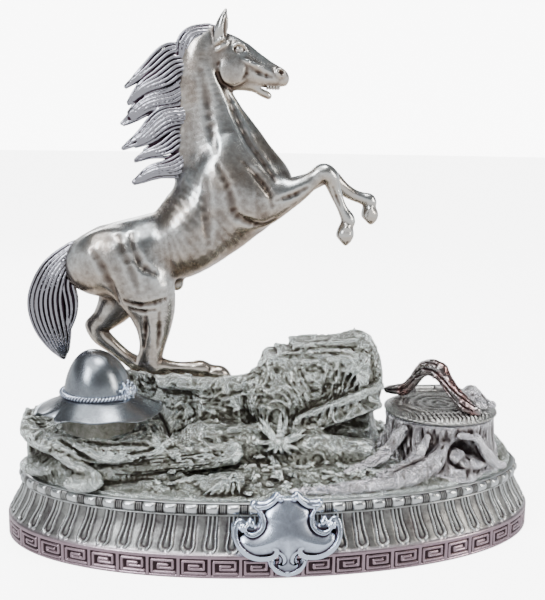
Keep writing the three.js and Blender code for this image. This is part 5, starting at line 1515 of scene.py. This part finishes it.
def steel_look():
    """Turned steel: fine rings of tool marks and a few brown rust specks."""
    mix = Recipe("steel_finish")
    mix.shader.inputs["Metallic"].default_value = 1.0
    specks = mix.band(mix.noise(1.4, 5, 0.7), 0.52, 0.66)
    mix.link(mix.mix(specks, (0.46, 0.46, 0.47), (0.16, 0.1, 0.07)), "Base Color")
    mix.link(mix.calc(mix.calc(specks, 0.3, "MULTIPLY"), 0.26), "Roughness")
    mix.bump(mix.noise(0.35, 3, 0.7, (1, 1, 6)), 0.3, 0.06)
    return mix.material


def glass_look():
    """Pressed glass with ripples, and dried ink clouding it."""
    mix = Recipe("pressed_glass")
    mix.shader.inputs["Transmission Weight"].default_value = 0.85
    mix.shader.inputs["IOR"].default_value = 1.5
    stain = mix.band(mix.noise(9, 4, 0.6), 0.45, 0.7)
    mix.link(mix.mix(stain, (0.86, 0.92, 0.9), (0.2, 0.22, 0.32)), "Base Color")
    mix.link(mix.calc(mix.calc(stain, 0.2, "MULTIPLY"), 0.05), "Roughness")
    mix.bump(mix.noise(3, 2, 0.5), 0.25, 0.2)
    return mix.material


FASTENERS = ("screw", "stud", "washer", "nut")


def finish_cad_nodes():
    """Looks for the collar, pots, hinge and fasteners, which keep their CAD shapes."""
    steel, glass = steel_look(), glass_look()
    looks = {"hat_well_collar": COLLAR_METAL, "left_ink_pot": glass, "right_ink_pot": glass,
             "hinge_bracket_left": HINGE_METAL, "hinge_bracket_right": HINGE_METAL, "hinge_pin": steel}
    for name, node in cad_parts.items():
        if name in looks or any(word in name for word in FASTENERS):
            look = looks.get(name, steel)
            node.data.materials.clear()
            node.data.materials.append(look)


# ---------- view, light and floor ----------
def place_camera():
    """Slightly from the left and above, close enough to fill the frame with the object."""
    turn, pitch, roll = math.radians(-6.0), 0.178, 0.014
    distance, height, shift_left = 0.489, 0.213, -0.00155
    data = bpy.data.cameras.new("camera")
    data.lens = 54.84
    camera = bpy.data.objects.new("camera", data)
    camera.location = (math.sin(turn) * distance + math.cos(turn) * shift_left,
                       -math.cos(turn) * distance + math.sin(turn) * shift_left, height)
    camera.rotation_mode = "QUATERNION"
    level = Quaternion((0, 0, 1), turn) @ Quaternion((1, 0, 0), math.pi / 2 - pitch)
    camera.rotation_quaternion = level @ Quaternion((0, 0, 1), roll)
    bpy.context.collection.objects.link(camera)
    bpy.context.scene.camera = camera


def area_light(name, place, target, width, height, power, colour=(1, 1, 1)):
    data = bpy.data.lights.new(name, "AREA")
    data.shape = "RECTANGLE"
    data.size, data.size_y = width, height
    data.energy = power
    data.color = colour
    light = bpy.data.objects.new(name, data)
    light.location = place
    light.rotation_euler = (Vector(target) - Vector(place)).to_track_quat("-Z", "Y").to_euler()
    bpy.context.collection.objects.link(light)


def light_studio():
    """A room that is pale low down and darker overhead, so that the metal has something to mirror."""
    world = bpy.data.worlds.new("studio")
    world.use_nodes = True
    tree = world.node_tree
    place = tree.nodes.new("ShaderNodeTexCoord")
    parts = tree.nodes.new("ShaderNodeSeparateXYZ")
    shade = tree.nodes.new("ShaderNodeValToRGB")
    tree.links.new(place.outputs["Generated"], parts.inputs[0])
    tree.links.new(parts.outputs["Z"], shade.inputs["Fac"])
    stops = [(0.0, 0.75), (0.15, 0.75), (0.3, 0.26), (0.5, 0.13), (0.8, 0.16), (1.0, 0.35)]
    while len(shade.color_ramp.elements) < len(stops):
        shade.color_ramp.elements.new(0.5)
    for element, (spot, value) in zip(shade.color_ramp.elements, stops):
        element.position = spot
        element.color = (value * 0.97, value * 0.985, value, 1)
    background = tree.nodes["Background"]
    tree.links.new(shade.outputs["Color"], background.inputs["Color"])
    background.inputs["Strength"].default_value = 1.9
    bpy.context.scene.world = world
    area_light("window", (-0.75, -0.8, 0.85), (0, 0, 0.12), 0.35, 0.6, 13, (0.93, 0.96, 1.0))
    area_light("overhead", (0.1, -0.1, 1.2), (0, 0, 0.1), 0.45, 0.35, 9)
    area_light("side", (1.0, -0.5, 0.55), (0, 0, 0.1), 0.2, 0.6, 7, (1.0, 0.95, 0.88))
    area_light("back", (-0.4, 1.0, 0.7), (0, 0, 0.12), 0.5, 0.35, 6)
    sun = bpy.data.lights.new("sky", "SUN")
    sun.energy = 1.5
    sun.angle = math.radians(50)
    light = bpy.data.objects.new("sky", sun)
    light.rotation_euler = (math.radians(18), math.radians(-14), 0)
    bpy.context.collection.objects.link(light)


def stage_piece(name, points, faces, grain, shades, rough, glow):
    """A pale, glowing sheet that mirrors don't see."""
    mesh = bpy.data.meshes.new(name)
    mesh.from_pydata(points, [], faces)
    paint = Recipe(name + "_paint")
    paint.link(paint.mix(paint.noise(*grain), *shades), "Base Color")
    paint.shader.inputs["Roughness"].default_value = rough
    paint.shader.inputs["Emission Color"].default_value = (1, 1, 1, 1)
    paint.shader.inputs["Emission Strength"].default_value = glow
    mesh.materials.append(paint.material)
    piece = bpy.data.objects.new(name, mesh)
    piece.visible_glossy = False
    bpy.context.collection.objects.link(piece)
    return piece


def lay_floor():
    """A wide pale table with a faint cloudy grain."""
    reach = 12.0
    corners = [(-reach, -reach, 0), (reach, -reach, 0), (reach, reach, 0), (-reach, reach, 0)]
    floor = stage_piece("floor", corners, [(0, 1, 2, 3)], (60, 3, 0.5),
                        ((0.88, 0.88, 0.89), (0.92, 0.92, 0.93)), 0.55, 6.0)


def raise_backdrop():
    """A pale drum round the table that only the eye sees, so the metal mirrors the darker room."""
    around, reach, high = 96, 11.0, 9.0
    points, faces = [], []
    for k in range(around):
        angle = 2 * math.pi * k / around
        for level in (-0.01, high):
            points.append((reach * math.cos(angle), reach * math.sin(angle), level))
        there = (k + 1) % around
        faces.append((2 * k, 2 * k + 1, 2 * there + 1, 2 * there))
    backdrop = stage_piece("backdrop", points, faces, (900, 2, 0.5), ((0.9, 0.9, 0.9), (0.94, 0.94, 0.94)),
                           0.8, 5.8)
    backdrop.visible_diffuse = False
    backdrop.visible_shadow = False


for make in (make_horse, make_hair, make_ground, make_stump, make_lid, make_branch, make_bark_lump,
             make_hat, make_band, make_rosette, make_plinth, make_cartouche, finish_cad_nodes,
             place_camera, light_studio, lay_floor, raise_backdrop):
    make()
